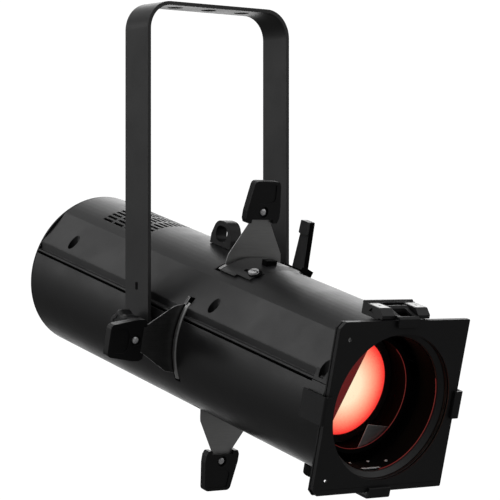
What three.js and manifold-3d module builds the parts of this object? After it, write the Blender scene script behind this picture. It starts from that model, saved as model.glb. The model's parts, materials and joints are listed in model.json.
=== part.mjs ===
// Ellipsoidal (profile) spotlight, hanging in its yoke.
// Millimetres, +Z up. The origin is the centre of the top face of the yoke's crossbar.
// The beam leaves towards -Y, pitched down by REST_PITCH, and the tilt axis runs along X.
// Inside the barrel, s is the distance forward of the tilt axis along the beam, and v is up.
import * as THREE from "three";
import { mergeVertices } from "three/addons/utils/BufferGeometryUtils.js";
import Module from "manifold-3d";

const wasm = await Module();
wasm.setup();

// ---- driving dimensions ----

const GAP = 0.3; // between pieces that touch

const STRAP_WIDTH = 40;
const STRAP_THICKNESS = 4;
const YOKE_HALF_WIDTH = 95; // to the outside face of a leg
const YOKE_BEND_RADIUS = 30; // outside of a bend
const PIVOT_DROP = 337.3; // top of the crossbar to the tilt axis
const HANG_HOLE_RADIUS = 8.2;
const HANG_HOLE_PITCH = 44.6;
const LEG_SLOT = { width: 4.5, height: 8, above_pivot: 40 };

const REST_PITCH = THREE.MathUtils.degToRad(14.64);
const BARREL_RADIUS = 86;
const SHELL_THICKNESS = 2.5;
const INNER_RADIUS = 80.5; // largest round piece that clears the shells' flats
const BARREL_REAR = -220;
const SHELL_REAR = -208;
const SHELL_FRONT = 293;
const FLAT = { from: 38.5, to: 66 }; // degrees from the top, the flat along each upper side
const SEAM = 74; // degrees from the top, where the shells meet

const VENT = { from: -158.5, pitch: 20.4, columns: 4, length: 16.5, width: 2.8, rows: 7, step: 4.15 };
const SCREW_BORE = { radius: 5.6, wall: 1.5, shank: 2.2, top: 60 };
const SCREW_BORES = [ // upright bores; clear is the radius kept free about the beam axis
  { s: -168, x: 70.5, floor: 34, clear: 60 },
  { s: 91.5, x: 70.5, floor: 34, clear: 60 },
  { s: 281, x: 76.8, floor: 27, clear: 76.6 },
];

const STUD = { radius: 6, bore: 6.4, reach: YOKE_HALF_WIDTH + 17, flange: 12, flange_at: [78.2, 82.2] };
const WASHER_RADIUS = 17;
const KNOB = { neck: 9, neck_length: 9, grip: 16, grip_from: 8, length: 24, bore_depth: 19 };
const KNOB_LOBES = { count: 6, depth: 3 };
const LEVER = { hub: 15, lean: 15.5, rear: 16, front: 24, bore_depth: 19 };

const SHUTTER = { first: 53.3, pitch: 1.8, blade: 0.8, leaf: 0.5, slot: [51.8, 60.6], sweep: 32 };
const BLADE = { tip: 38, wide: 80, neck: 125, end: 149, half: 37, neck_half: 13.5, end_half: 12 };
const HANDLE = { from: 124, shoulder: 137, end: 169, half: 20, shoulder_half: 22, end_half: 15.5 };
const HANDLE_THICKNESS = 8;
const HANDLE_CORNER = 5;
const LEAF_RING = { outer: 62, inner: 40 };
const SHUTTER_SCREW = { at: 136, shank: 2.4, head: 5, head_height: 1.6 };
const GATE = { rear: [49, 51.8], front: [60.6, 62.6], rear_aperture: 36, front_aperture: 38 };

const LENS_CELL = { rear: 196, front: 256, radius: 62, clear: 57, wall: 2 };
const FOCUS = { station: 212, back: 30, forward: 20, radius: 16, height: 12, stem: 4 };

const FRONT_OPENING = 74;
const HOLDER = { rear: 293.4, thickness: 1.8, half_x: 84.5, low: -86, high: 87 };
const GEL_FRAME = { rear: 295.7, front: 299.9, half_x: 84, low: -85.5, high: 87.5 };
const CORNER_HOLE = { x: 69.5, v: 70, radius: 2.4 };
const CLIP = { rear: 268, lip_rear: 300.4, front: 303.4, half: 14, wall: 2.6, lip: 11 };

const LATCH = { rear: 267, front: 297.5, base: 86.6, top: 98, half: 31, gap_half: 15 };
const LATCH_PIN = { s: 280, v: 94.2, radius: 1.6 };
const TONGUE = { half: 13.5, top: 91.6, thickness: 2.4, front: 303.4, low: 80.6 };

const EYE = { from: -12, to: 25, half: 8, base: 86.4, top: 111, hole: 6.5 };
const EYE_BOLTS = [-4, 17];
const SLOT_COVER = { from: 61, step: 86, to: 107, wide: 31.5, narrow: 29.2, thickness: 1.7 };
const COVER_LIFT = 0.35;
const COVER_WINDOW = { width: 44, margin: 3 };
const COVER_SCREW = { station: 95, angle: -20.4, head: 5.5, shank: 2 };
const COVER_CATCH = { from: 95.5, to: 106.5, width: 9, height: 7.5, angle: 24 };

const REAR_FACE = -218.5;
const REAR_THICKNESS = 3;
const REAR_RECESS = 82; // radius of the flat face inside the rim
const BUTTON = { radius: 4.2, v: 20, pitch: 15, proud: 1.8, collar: 1.4 };
const DISPLAY = { half: 26, low: 33, high: 53 };
const INLET = { x: 0, v: -18, width: 30, height: 22, flange: [4, 3], wall: 2.5 };
const DATA = { x: 27, v: -50, radius: 12.5, flange: [27, 31], wall: 2.5 };

const HEAT_SINK = { radius: 60, fin_rear: -158, base_rear: -101, front: -93, fins: 6, fin_pitch: 8.4 };
const FAN = { rear: -190, front: -165, half: 40, bore: 37.5, hub: 15, blades: 7 };
const LED = { rear: -92.6, front: -90.6, radius: 27, chip_front: -88.2, chip_radius: 11 };
const SUPPLY = { half: 31, rear: -150, front: -20, low: -74, high: -53, wall: 3 };
const OPTIC_TUBE = { rear: -92.3, cone_end: -50, front: 48, throat: 33.5, radius: 50, wall: 2.5 };

// ---- materials ----

function finish(color, roughness, metalness, extra = {}) {
  return new THREE.MeshStandardMaterial({ color, roughness, metalness, ...extra });
}

const powderCoat = finish(0x2b2b2c, 0.55, 0.3);
const blackSteel = finish(0x222223, 0.5, 0.4);
const blackPlastic = finish(0x18181a, 0.45, 0);
const shutterSteel = finish(0x6f6f72, 0.35, 0.9);
const bareSteel = finish(0xb9b9bb, 0.3, 0.95);
const bareAluminium = finish(0xa9abad, 0.4, 0.9);
const circuitBoard = finish(0x17402a, 0.6, 0);
const lensGlass = finish(0xf4ece0, 0.05, 0, { transparent: true, opacity: 0.35 });
const darkGlass = finish(0x101418, 0.1, 0);

// ---- solids ----

function solid(geometry) {
  const bare = geometry.index ? geometry.toNonIndexed() : geometry.clone();
  bare.deleteAttribute("normal");
  bare.deleteAttribute("uv");
  const merged = mergeVertices(bare, 1e-4);
  const corners = merged.index.array;
  const triangles = [];
  for (let i = 0; i < corners.length; i += 3) {
    const [a, b, c] = corners.slice(i, i + 3);
    if (a !== b && b !== c && c !== a) triangles.push(a, b, c);
  }
  return new wasm.Manifold(
    new wasm.Mesh({
      numProp: 3,
      vertProperties: merged.attributes.position.array,
      triVerts: new Uint32Array(triangles),
    }),
  );
}

function join(...solids) {
  return solids.reduce((whole, next) => whole.add(next));
}

function cut(whole, ...tools) {
  return tools.reduce((rest, tool) => rest.subtract(tool), whole);
}

function named(name, shape, material) {
  const data = shape.getMesh();
  const geometry = new THREE.BufferGeometry();
  geometry.setAttribute("position", new THREE.BufferAttribute(data.vertProperties, 3));
  geometry.setIndex(new THREE.BufferAttribute(data.triVerts, 1));
  geometry.computeVertexNormals();
  const mesh = new THREE.Mesh(geometry, material);
  mesh.name = name;
  return mesh;
}

function block([x0, x1], [s0, s1], [v0, v1]) {
  const geometry = new THREE.BoxGeometry(x1 - x0, s1 - s0, v1 - v0);
  return solid(geometry.translate((x0 + x1) / 2, -(s0 + s1) / 2, (v0 + v1) / 2));
}

// A cylinder along X between two X values, centred at (s, v).
function crossRod(radius, [x0, x1], s = 0, v = 0, sides = 16) {
  const geometry = new THREE.CylinderGeometry(radius, radius, x1 - x0, sides);
  return solid(geometry.rotateZ(Math.PI / 2).translate((x0 + x1) / 2, -s, v));
}

// A cylinder along the beam between two stations, centred at (x, v).
function beamRod(radius, [s0, s1], x = 0, v = 0, sides = 16) {
  const geometry = new THREE.CylinderGeometry(radius, radius, s1 - s0, sides);
  return solid(geometry.translate(x, -(s0 + s1) / 2, v));
}

// A cylinder that stands on the beam axis at a station, at an angle from the top.
function radialRod(radius, [r0, r1], s, angle = 0, sides = 16) {
  const geometry = new THREE.CylinderGeometry(radius, radius, r1 - r0, sides);
  geometry.rotateX(Math.PI / 2).translate(0, -s, (r0 + r1) / 2);
  return solid(geometry.rotateY(THREE.MathUtils.degToRad(angle)));
}

// A cylinder along v between two heights, centred at (x, s).
function uprightRod(radius, [v0, v1], x, s, sides = 20) {
  const geometry = new THREE.CylinderGeometry(radius, radius, v1 - v0, sides);
  return solid(geometry.rotateX(Math.PI / 2).translate(x, -s, (v0 + v1) / 2));
}

// A block that stands on the beam axis, width across and [s0, s1] along the beam.
function radialBlock(width, [s0, s1], [r0, r1], angle = 0) {
  const geometry = new THREE.BoxGeometry(width, s1 - s0, r1 - r0);
  geometry.translate(0, -(s0 + s1) / 2, (r0 + r1) / 2);
  return solid(geometry.rotateY(THREE.MathUtils.degToRad(angle)));
}

const PLAIN = { bevelEnabled: false, curveSegments: 5 };

function shapeOf(points) {
  return new THREE.Shape(points.map(([x, y]) => new THREE.Vector2(x, y)));
}

// An outline in X and v, extruded along the beam.
function beamPrism(outline, [s0, s1]) {
  const shape = Array.isArray(outline) ? shapeOf(outline) : outline;
  const geometry = new THREE.ExtrudeGeometry(shape, { depth: s1 - s0, ...PLAIN });
  return solid(geometry.rotateX(Math.PI / 2).translate(0, -s0, 0));
}

// An outline in s and v, extruded along X.
function sidePrism(outline, [x0, x1]) {
  const shape = Array.isArray(outline) ? shapeOf(outline) : outline;
  const geometry = new THREE.ExtrudeGeometry(shape, { depth: x1 - x0, ...PLAIN });
  // shape x (s) becomes -Y, shape y (v) becomes Z, and the depth becomes X
  const axes = new THREE.Matrix4().makeBasis(
    new THREE.Vector3(0, -1, 0),
    new THREE.Vector3(0, 0, 1),
    new THREE.Vector3(-1, 0, 0),
  );
  return solid(geometry.applyMatrix4(axes).translate(x1, 0, 0));
}

// A closed profile of [radius, station] points turned about the beam axis.
function turned(profile, sides = 32) {
  const closed = profile.at(0)[0] > 0 || profile.at(-1)[0] > 0 ? [...profile, profile[0]] : profile;
  const area = closed.slice(1).reduce(
    (sum, [r, s], i) => sum + closed[i][0] * s - r * closed[i][1],
    0,
  );
  const ordered = area < 0 ? [...closed].reverse() : closed;
  const points = ordered.map(([r, s]) => new THREE.Vector2(r, -s));
  return solid(new THREE.LatheGeometry(points.reverse(), sides));
}

function tube(outer, inner, [s0, s1], sides = 32) {
  return turned([[inner, s0], [outer, s0], [outer, s1], [inner, s1]], sides);
}

// The casing's outside radius at an angle from the top, in degrees.
function casingRadius(angle) {
  const a = Math.abs(angle);
  if (a <= FLAT.from || a >= FLAT.to) return BARREL_RADIUS;
  const middle = (FLAT.from + FLAT.to) / 2;
  const rise = Math.cos(THREE.MathUtils.degToRad(FLAT.to - middle));
  return (BARREL_RADIUS * rise) / Math.cos(THREE.MathUtils.degToRad(a - middle));
}

// Angles of the outline's corners: the edges of the flats, and ridges that run between vent rows.
function casingBreaks(from, to) {
  const ridges = [0, 1, 2, 3, 4].map((k) => (2 * k + 0.5) * VENT.step);
  const half = [...ridges, FLAT.from, FLAT.to];
  const around = [...half.map((a) => -a).reverse(), ...half];
  return around.filter((a) => a > from + 0.1 && a < to - 0.1);
}

// Points on the casing's outline, offset outwards, from one angle to another.
function casingArc(from, to, offset = 0, step = 9) {
  const stops = [from, ...casingBreaks(from, to), to];
  const angles = [from];
  for (let i = 1; i < stops.length; i++) {
    const count = Math.max(1, Math.ceil((stops[i] - stops[i - 1]) / step));
    for (let k = 1; k <= count; k++) {
      angles.push(stops[i - 1] + ((stops[i] - stops[i - 1]) * k) / count);
    }
  }
  return angles.map((angle) => {
    const radius = casingRadius(angle) + offset;
    const radians = THREE.MathUtils.degToRad(angle);
    return [radius * Math.sin(radians), radius * Math.cos(radians)];
  });
}

function casingBand(from, to, [inside, outside], stations, step = 9) {
  const outline = [
    ...casingArc(from, to, outside, step),
    ...casingArc(from, to, inside, step).reverse(),
  ];
  return beamPrism(outline, stations);
}

// A rectangle with rounded corners, centred on (x, y).
function roundedRectangle(width, height, radius, x = 0, y = 0) {
  const [w, h] = [width / 2, height / 2];
  const shape = new THREE.Shape();
  shape.moveTo(x - w + radius, y - h);
  shape.lineTo(x + w - radius, y - h);
  shape.absarc(x + w - radius, y - h + radius, radius, -Math.PI / 2, 0);
  shape.lineTo(x + w, y + h - radius);
  shape.absarc(x + w - radius, y + h - radius, radius, 0, Math.PI / 2);
  shape.lineTo(x - w + radius, y + h);
  shape.absarc(x - w + radius, y + h - radius, radius, Math.PI / 2, Math.PI);
  shape.lineTo(x - w, y - h + radius);
  shape.absarc(x - w + radius, y - h + radius, radius, Math.PI, 1.5 * Math.PI);
  return shape;
}

// ---- yoke ----

function yokeStrap() {
  const bottom = -PIVOT_DROP - STRAP_WIDTH / 2;
  const corner = (side, inset) => {
    const half = YOKE_HALF_WIDTH - inset;
    const radius = YOKE_BEND_RADIUS - inset;
    const centre = [side * (half - radius), -inset - radius];
    return Array.from({ length: 9 }, (_, i) => {
      const turn = (i / 8) * (Math.PI / 2);
      return [centre[0] + side * radius * Math.cos(turn), centre[1] + radius * Math.sin(turn)];
    });
  };
  const run = (inset) => [
    [YOKE_HALF_WIDTH - inset, bottom],
    ...corner(1, inset),
    ...corner(-1, inset).reverse(),
    [-YOKE_HALF_WIDTH + inset, bottom],
  ];
  const strip = beamPrism(
    [...run(0), ...run(STRAP_THICKNESS).reverse()],
    [-STRAP_WIDTH / 2, STRAP_WIDTH / 2],
  );
  const face = new THREE.Shape();
  face.moveTo(-STRAP_WIDTH / 2, 1);
  face.lineTo(-STRAP_WIDTH / 2, -PIVOT_DROP);
  face.absarc(0, -PIVOT_DROP, STRAP_WIDTH / 2, Math.PI, 2 * Math.PI);
  face.lineTo(STRAP_WIDTH / 2, 1);
  const rounded = strip.intersect(sidePrism(face, [-YOKE_HALF_WIDTH - 1, YOKE_HALF_WIDTH + 1]));
  const hangHoles = [-1, 0, 1].map((k) => {
    const hole = new THREE.CylinderGeometry(HANG_HOLE_RADIUS, HANG_HOLE_RADIUS, 20, 20);
    return solid(hole.rotateX(Math.PI / 2).translate(k * HANG_HOLE_PITCH, 0, 0));
  });
  const pivotBore = crossRod(STUD.bore, [-120, 120], 0, -PIVOT_DROP);
  const slotCentre = -PIVOT_DROP + LEG_SLOT.above_pivot;
  const slot = block(
    [-YOKE_HALF_WIDTH - 2, -YOKE_HALF_WIDTH + STRAP_THICKNESS + 2],
    [-LEG_SLOT.width / 2, LEG_SLOT.width / 2],
    [slotCentre - LEG_SLOT.height / 2, slotCentre + LEG_SLOT.height / 2],
  );
  return cut(rounded, ...hangHoles, pivotBore, slot);
}

function frictionWasher(side) {
  const faces = [BARREL_RADIUS + 0.4, YOKE_HALF_WIDTH - STRAP_THICKNESS - GAP];
  const x = side > 0 ? faces : [-faces[1], -faces[0]];
  return cut(
    crossRod(WASHER_RADIUS, x, 0, -PIVOT_DROP, 32),
    crossRod(STUD.bore, [-120, 120], 0, -PIVOT_DROP),
  );
}

// The stud turns with the barrel: its flange sits inside the shell.
function pivotStud(side) {
  const onSide = side > 0 ? (span) => span : ([a, b]) => [-b, -a];
  return join(
    crossRod(STUD.flange, onSide(STUD.flange_at)),
    crossRod(STUD.radius, onSide([STUD.flange_at[0], STUD.reach])),
  );
}

function scallopedOutline(radius, lobes, depth, steps = 6) {
  const count = lobes * steps;
  return Array.from({ length: count }, (_, i) => {
    const turn = (i / count) * 2 * Math.PI;
    const r = radius - depth * (0.5 + 0.5 * Math.cos(lobes * turn));
    return [r * Math.cos(turn), r * Math.sin(turn)];
  });
}

function tiltKnob() {
  const inner = -YOKE_HALF_WIDTH - GAP;
  const neck = crossRod(KNOB.neck, [inner - KNOB.neck_length, inner]);
  const outline = scallopedOutline(KNOB.grip, KNOB_LOBES.count, KNOB_LOBES.depth);
  const grip = sidePrism(outline, [inner - KNOB.length, inner - KNOB.grip_from]);
  return cut(join(neck, grip), crossRod(STUD.bore, [inner - KNOB.bore_depth, inner + 2]));
}

function tiltLever() {
  const inner = YOKE_HALF_WIDTH + GAP;
  const [armRear, armFront] = [inner + LEVER.rear, inner + LEVER.front];
  const lean = THREE.MathUtils.degToRad(LEVER.lean);
  const along = (a, b) => [
    a * Math.sin(lean) + b * Math.cos(lean),
    a * Math.cos(lean) - b * Math.sin(lean),
  ];
  const outline = [
    along(0, -15),
    along(61, -12.5),
    along(100, -9.5),
    along(103, -7),
    along(108, -7.5),
    along(113, -5),
    along(113, 5),
    along(108, 8),
    along(61, 12.5),
    along(0, 15),
  ];
  const hub = crossRod(LEVER.hub, [inner, armFront], 0, 0, 32);
  const arm = sidePrism(outline.reverse(), [armRear, armFront]);
  return cut(join(hub, arm), crossRod(STUD.bore, [inner - 2, inner + LEVER.bore_depth]));
}

// ---- casing ----

function ventSlots() {
  const slots = [];
  for (let column = 0; column < VENT.columns; column++) {
    const from = VENT.from + column * VENT.pitch;
    for (let row = -VENT.rows; row <= VENT.rows; row++) {
      const stations = [from, from + VENT.length];
      slots.push(radialBlock(VENT.width, stations, [75, 95], row * VENT.step));
    }
  }
  return slots;
}

function shutterSlot(angle) {
  const sweep = SHUTTER.sweep;
  return casingBand(-sweep, sweep, [-12, 12], SHUTTER.slot, 15).rotate([0, angle, 0]);
}

// A sunk upright cup for a casing screw, and the hole it needs through the shell.
function screwPocket({ s, x, floor, clear }, side) {
  const { radius, wall, shank, top } = SCREW_BORE;
  const reach = [s - 2 * radius, s + 2 * radius];
  const within = casingBand(-SEAM, SEAM, [clear - BARREL_RADIUS, -GAP], reach);
  const cup = uprightRod(radius + wall, [floor - wall, top], side * x, s).intersect(within);
  const hollow = uprightRod(radius, [floor, top], side * x, s);
  const screwHole = uprightRod(shank, [floor - 2 * wall, floor + 1], side * x, s, 8);
  const core = (offset) => beamRod(clear + offset, reach, 0, 0, 48);
  return { cup: cut(cup, core(0)), hollow: join(cut(hollow, core(wall)), screwHole) };
}

function upperShell() {
  const shell = casingBand(-SEAM, SEAM, [-SHELL_THICKNESS, 0], [SHELL_REAR, SHELL_FRONT]);
  const pockets = [-1, 1].flatMap((side) => SCREW_BORES.map((bore) => screwPocket(bore, side)));
  const { width, margin } = COVER_WINDOW;
  const window = radialBlock(width, [SLOT_COVER.from + margin, SLOT_COVER.to - margin], [70, 95]);
  const eyeBolts = EYE_BOLTS.map((s) => radialRod(2.6, [75, 95], s, 0, 12));
  const coverScrew = radialRod(2.4, [75, 95], COVER_SCREW.station, COVER_SCREW.angle, 12);
  return cut(
    join(shell, ...pockets.map((p) => p.cup)),
    ...pockets.map((p) => p.hollow),
    ...ventSlots(),
    shutterSlot(0),
    shutterSlot(90),
    shutterSlot(-90),
    window,
    ...eyeBolts,
    coverScrew,
  );
}

function lowerShell() {
  const margin = 0.35; // degrees left open along the seam
  const shell = casingBand(SEAM + margin, 360 - SEAM - margin, [-SHELL_THICKNESS, 0], [
    SHELL_REAR,
    SHELL_FRONT,
  ]);
  const focusSlot = radialBlock(
    2 * FOCUS.stem + 2,
    [FOCUS.station - FOCUS.back - FOCUS.stem - 1, FOCUS.station + FOCUS.forward + FOCUS.stem + 1],
    [75, 95],
    180,
  );
  return cut(
    shell,
    shutterSlot(180),
    shutterSlot(90),
    shutterSlot(-90),
    focusSlot,
    crossRod(STUD.bore, [-120, 120]),
  );
}

function rearPanel() {
  const inside = REAR_FACE + REAR_THICKNESS;
  const cap = turned([
    [0, REAR_FACE],
    [REAR_RECESS, REAR_FACE],
    [REAR_RECESS, BARREL_REAR],
    [84.5, BARREL_REAR],
    [BARREL_RADIUS, BARREL_REAR + 1.5],
    [BARREL_RADIUS, SHELL_REAR - GAP],
    [REAR_RECESS, SHELL_REAR - GAP],
    [REAR_RECESS, inside],
    [0, inside],
  ], 48);
  const through = [REAR_FACE - 5, inside + 5];
  const buttonHoles = [-1.5, -0.5, 0.5, 1.5].map((k) =>
    beamRod(BUTTON.radius + 0.4, through, k * BUTTON.pitch, BUTTON.v),
  );
  const display = block([-DISPLAY.half, DISPLAY.half], through, [DISPLAY.low, DISPLAY.high]);
  const inletHole = block(
    [INLET.x - INLET.width / 2, INLET.x + INLET.width / 2],
    through,
    [INLET.v - INLET.height / 2, INLET.v + INLET.height / 2],
  );
  const dataHoles = [-1, 1].map((side) => beamRod(DATA.radius, through, side * DATA.x, DATA.v));
  return cut(cap, ...buttonHoles, display, inletHole, ...dataHoles);
}

function displayWindow() {
  const stations = [REAR_FACE + 0.4, REAR_FACE + 2.6];
  return block(
    [-DISPLAY.half + GAP, DISPLAY.half - GAP],
    stations,
    [DISPLAY.low + GAP, DISPLAY.high - GAP],
  );
}

function menuButton(k) {
  const x = (k - 1.5) * BUTTON.pitch;
  const inside = REAR_FACE + REAR_THICKNESS;
  const cap = beamRod(BUTTON.radius, [REAR_FACE - BUTTON.proud, inside + 1.5], x, BUTTON.v);
  const collar = beamRod(BUTTON.radius + BUTTON.collar, [inside + GAP, inside + 1.5], x, BUTTON.v);
  return join(cap, collar);
}

// Flanged mains inlet with a hollow for the mating connector.
function powerInlet() {
  const [w, h] = [INLET.width / 2 - GAP, INLET.height / 2 - GAP];
  const body = block([-w, w], [REAR_FACE - 0.5, REAR_FACE + 22], [INLET.v - h, INLET.v + h]);
  const [side, end] = INLET.flange;
  const flange = block([-w - side, w + side], [REAR_FACE - 2.3, REAR_FACE - GAP], [
    INLET.v - h - end,
    INLET.v + h + end,
  ]);
  const hollow = block([-w + INLET.wall, w - INLET.wall], [REAR_FACE - 5, REAR_FACE + 17], [
    INLET.v - h + INLET.wall,
    INLET.v + h - INLET.wall,
  ]);
  return cut(join(body, flange), hollow);
}

// Round data socket with a square flange.
function dataSocket(side) {
  const x = side * DATA.x;
  const body = beamRod(DATA.radius - GAP, [REAR_FACE - 0.5, REAR_FACE + 20], x, DATA.v);
  const outline = roundedRectangle(...DATA.flange, 4, x, DATA.v);
  const flange = beamPrism(outline, [REAR_FACE - 2, REAR_FACE - GAP]);
  const bore = DATA.radius - GAP - DATA.wall;
  const hollow = beamRod(bore, [REAR_FACE - 5, REAR_FACE + 14], x, DATA.v);
  return cut(join(body, flange), hollow);
}

// ---- light engine ----

function heatSink() {
  const { radius, fin_rear, base_rear, front, fins: most, fin_pitch } = HEAT_SINK;
  const base = beamRod(radius, [base_rear, front], 0, 0, 32);
  const fins = [];
  for (let k = -most; k <= most; k++) {
    const x = k * fin_pitch;
    const half = Math.sqrt(radius * radius - x * x) - 1;
    fins.push(block([x - 0.9, x + 0.9], [fin_rear, base_rear + 1], [-half, half]));
  }
  const supplyRoom = block([-radius, radius], [fin_rear - 1, front + 1], [-radius, SUPPLY.high + 2]);
  return cut(join(base, ...fins), supplyRoom);
}

function fanFrame() {
  const square = beamPrism(roundedRectangle(2 * FAN.half, 2 * FAN.half, 5), [FAN.rear, FAN.front]);
  const spokes = [0, 60, 120].map((angle) => {
    const arm = new THREE.BoxGeometry(4, 2, 2 * FAN.bore + 4).translate(0, -FAN.rear - 1, 0);
    return solid(arm.rotateY(THREE.MathUtils.degToRad(angle)));
  });
  const motor = beamRod(FAN.hub, [FAN.rear, FAN.rear + 4], 0, 0, 32);
  const bore = beamRod(FAN.bore, [FAN.rear - 1, FAN.front + 1], 0, 0, 32);
  return join(cut(square, bore), motor, ...spokes);
}

function fanRotor() {
  const [rear, front] = [FAN.rear + 4.4, FAN.front - 1.5];
  const hub = beamRod(FAN.hub, [rear, front], 0, 0, 32);
  const blades = Array.from({ length: FAN.blades }, (_, k) => {
    const blade = new THREE.BoxGeometry(1.6, 20, 24).rotateZ(THREE.MathUtils.degToRad(42));
    blade.translate(0, -(rear + front) / 2, 24.5);
    return solid(blade.rotateY((k / FAN.blades) * 2 * Math.PI));
  });
  const room = beamRod(FAN.bore - 1, [rear, front], 0, 0, 32);
  return join(hub, ...blades).intersect(room);
}

function ledBoard() {
  const board = beamRod(LED.radius, [LED.rear, LED.front], 0, 0, 32);
  return join(board, beamRod(LED.chip_radius, [LED.front - 0.1, LED.chip_front], 0, 0, 24));
}

// An open-topped tray.
function powerSupply() {
  const { half, rear, front, low, high, wall } = SUPPLY;
  return cut(
    block([-half, half], [rear, front], [low, high]),
    block([-half + wall, half - wall], [rear + wall, front - wall], [low + wall, high + wall]),
  );
}

// Cone and tube that hold the condenser and shut in the light up to the gate.
function opticTube() {
  const { rear, cone_end, front, throat, radius, wall } = OPTIC_TUBE;
  const inside = radius - wall;
  const seat = inside - 2.5;
  return turned([
    [throat - wall, rear],
    [throat, rear],
    [radius, cone_end],
    [radius, front],
    [inside, front],
    [inside, 2.5],
    [seat, 2.5],
    [seat, -GAP],
    [inside, -GAP],
    [inside, cone_end],
  ]);
}

// A biconvex or plano-convex lens as a closed profile of revolution.
function lens(radius, edge, rear, rearBulge, frontBulge, steps = 3) {
  const profile = [];
  for (let i = 0; i <= steps; i++) {
    const r = (radius * i) / steps;
    profile.push([r, rear + rearBulge * (r / radius) ** 2]);
  }
  const rim = rear + rearBulge + edge;
  for (let i = steps; i >= 0; i--) {
    const r = (radius * i) / steps;
    profile.push([r, rim + frontBulge * (1 - (r / radius) ** 2)]);
  }
  return turned(profile);
}

// ---- gate and shutters ----

function gatePlate(stations, aperture) {
  return tube(INNER_RADIUS, aperture, stations);
}

function shutterPlane(k) {
  return SHUTTER.first + k * SHUTTER.pitch;
}

// A thin ring that carries one blade and lets it swivel in its slot.
function shutterLeaf(k) {
  const s = shutterPlane(k) + SHUTTER.pitch / 2;
  return tube(LEAF_RING.outer, LEAF_RING.inner, [s - SHUTTER.leaf / 2, s + SHUTTER.leaf / 2], 24);
}

function shutterBlade(k) {
  const s = shutterPlane(k);
  const right = [
    [BLADE.half, BLADE.tip],
    [BLADE.half, BLADE.wide],
    [BLADE.neck_half, BLADE.neck],
    [BLADE.end_half, BLADE.end],
  ];
  const left = right.map(([x, r]) => [-x, r]).reverse();
  const plate = beamPrism([...right, ...left], [s - SHUTTER.blade / 2, s + SHUTTER.blade / 2]);
  return cut(plate, beamRod(SHUTTER_SCREW.shank + GAP, [s - 3, s + 3], 0, SHUTTER_SCREW.at, 12));
}

function handleOutline() {
  const { from, shoulder, end, half, shoulder_half, end_half } = HANDLE;
  const c = HANDLE_CORNER;
  const shape = new THREE.Shape();
  shape.moveTo(-half + c, from);
  shape.lineTo(half - c, from);
  shape.quadraticCurveTo(half, from, half + 0.6, from + c);
  shape.lineTo(shoulder_half, shoulder);
  shape.lineTo(end_half + 1, end - c);
  shape.quadraticCurveTo(end_half, end, end_half - c, end);
  shape.lineTo(-end_half + c, end);
  shape.quadraticCurveTo(-end_half, end, -end_half - 1, end - c);
  shape.lineTo(-shoulder_half, shoulder);
  shape.lineTo(-half - 0.6, from + c);
  shape.quadraticCurveTo(-half, from, -half + c, from);
  return shape;
}

function shutterHandle(k) {
  const s = shutterPlane(k);
  const half = HANDLE_THICKNESS / 2;
  const slit = SHUTTER.blade / 2 + GAP;
  const geometry = new THREE.ExtrudeGeometry(handleOutline(), {
    depth: HANDLE_THICKNESS,
    ...PLAIN,
  });
  const body = solid(geometry.rotateX(Math.PI / 2).translate(0, half - s, 0));
  return cut(
    body,
    block([-BLADE.neck_half - 1, BLADE.neck_half + 1], [s - slit, s + slit], [
      HANDLE.from - 2,
      BLADE.end + GAP,
    ]),
    beamRod(SHUTTER_SCREW.shank + GAP, [s - 10, s + 10], 0, SHUTTER_SCREW.at, 12),
  );
}

function shutterScrew(k) {
  const s = shutterPlane(k);
  const face = s + HANDLE_THICKNESS / 2;
  const { shank, head, head_height, at } = SHUTTER_SCREW;
  const body = join(
    beamRod(shank, [s - HANDLE_THICKNESS / 2 + 1, face + 1], 0, at, 10),
    beamRod(head, [face + GAP, face + GAP + head_height], 0, at, 16),
  );
  const slotDepth = [face + GAP + 0.9, face + GAP + 5];
  return cut(body, block([-head - 1, head + 1], slotDepth, [at - 0.6, at + 0.6]));
}

function shutterGroup(name, angle, k) {
  const group = new THREE.Group();
  group.rotation.y = THREE.MathUtils.degToRad(angle);
  group.add(
    named(`shutter_leaf_${name}`, shutterLeaf(k), blackSteel),
    named(`shutter_blade_${name}`, shutterBlade(k), shutterSteel),
    named(`shutter_handle_${name}`, shutterHandle(k), blackPlastic),
    named(`shutter_screw_${name}`, shutterScrew(k), bareSteel),
  );
  return group;
}

// ---- lens tube and front ----

function lensCell() {
  const { rear, front, radius, clear, wall } = LENS_CELL;
  const inside = radius - wall;
  return turned([
    [44, rear],
    [radius, rear],
    [radius, front],
    [clear, front],
    [clear, front - 1.6],
    [inside, front - 1.6],
    [inside, rear + 19],
    [49, rear + 19],
    [49, rear + 17],
    [inside, rear + 17],
    [inside, rear + 2],
    [44, rear + 2],
  ]);
}

// Thumb screw under the barrel; its stem reaches the lens cell through the focus slot.
function focusKnob() {
  const { station, radius, height, stem } = FOCUS;
  const top = BARREL_RADIUS + 1.5;
  const profile = [
    [0, LENS_CELL.radius + GAP],
    [stem, LENS_CELL.radius + GAP],
    [stem, top],
    [radius, top],
    [radius, top + height - 3],
    [radius - 3, top + height],
    [0, top + height],
  ];
  const points = profile.map(([r, depth]) => new THREE.Vector2(r, depth));
  const knob = new THREE.LatheGeometry(points, 32);
  return solid(knob.rotateX(-Math.PI / 2).translate(0, -station, 0));
}

function frontHood() {
  return turned([
    [64.5, 262],
    [76, 262],
    [76, 290.9],
    [INNER_RADIUS, 290.9],
    [INNER_RADIUS, 292.7],
    [72, 292.7],
    [68, 289],
    [68, 284],
    [64.5, 282],
  ], 40);
}

function cornerHoles(stations) {
  const { x, v, radius } = CORNER_HOLE;
  return [-1, 1].flatMap((i) => [-1, 1].map((j) => beamRod(radius, stations, i * x, j * v, 10)));
}

function frameHolder() {
  const { rear, thickness, half_x, low, high } = HOLDER;
  const stations = [rear, rear + thickness];
  const plate = block([-half_x, half_x], stations, [low, high]);
  const through = [rear - 5, rear + 10];
  return cut(plate, beamRod(FRONT_OPENING, through, 0, 0, 48), ...cornerHoles(through));
}

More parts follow.
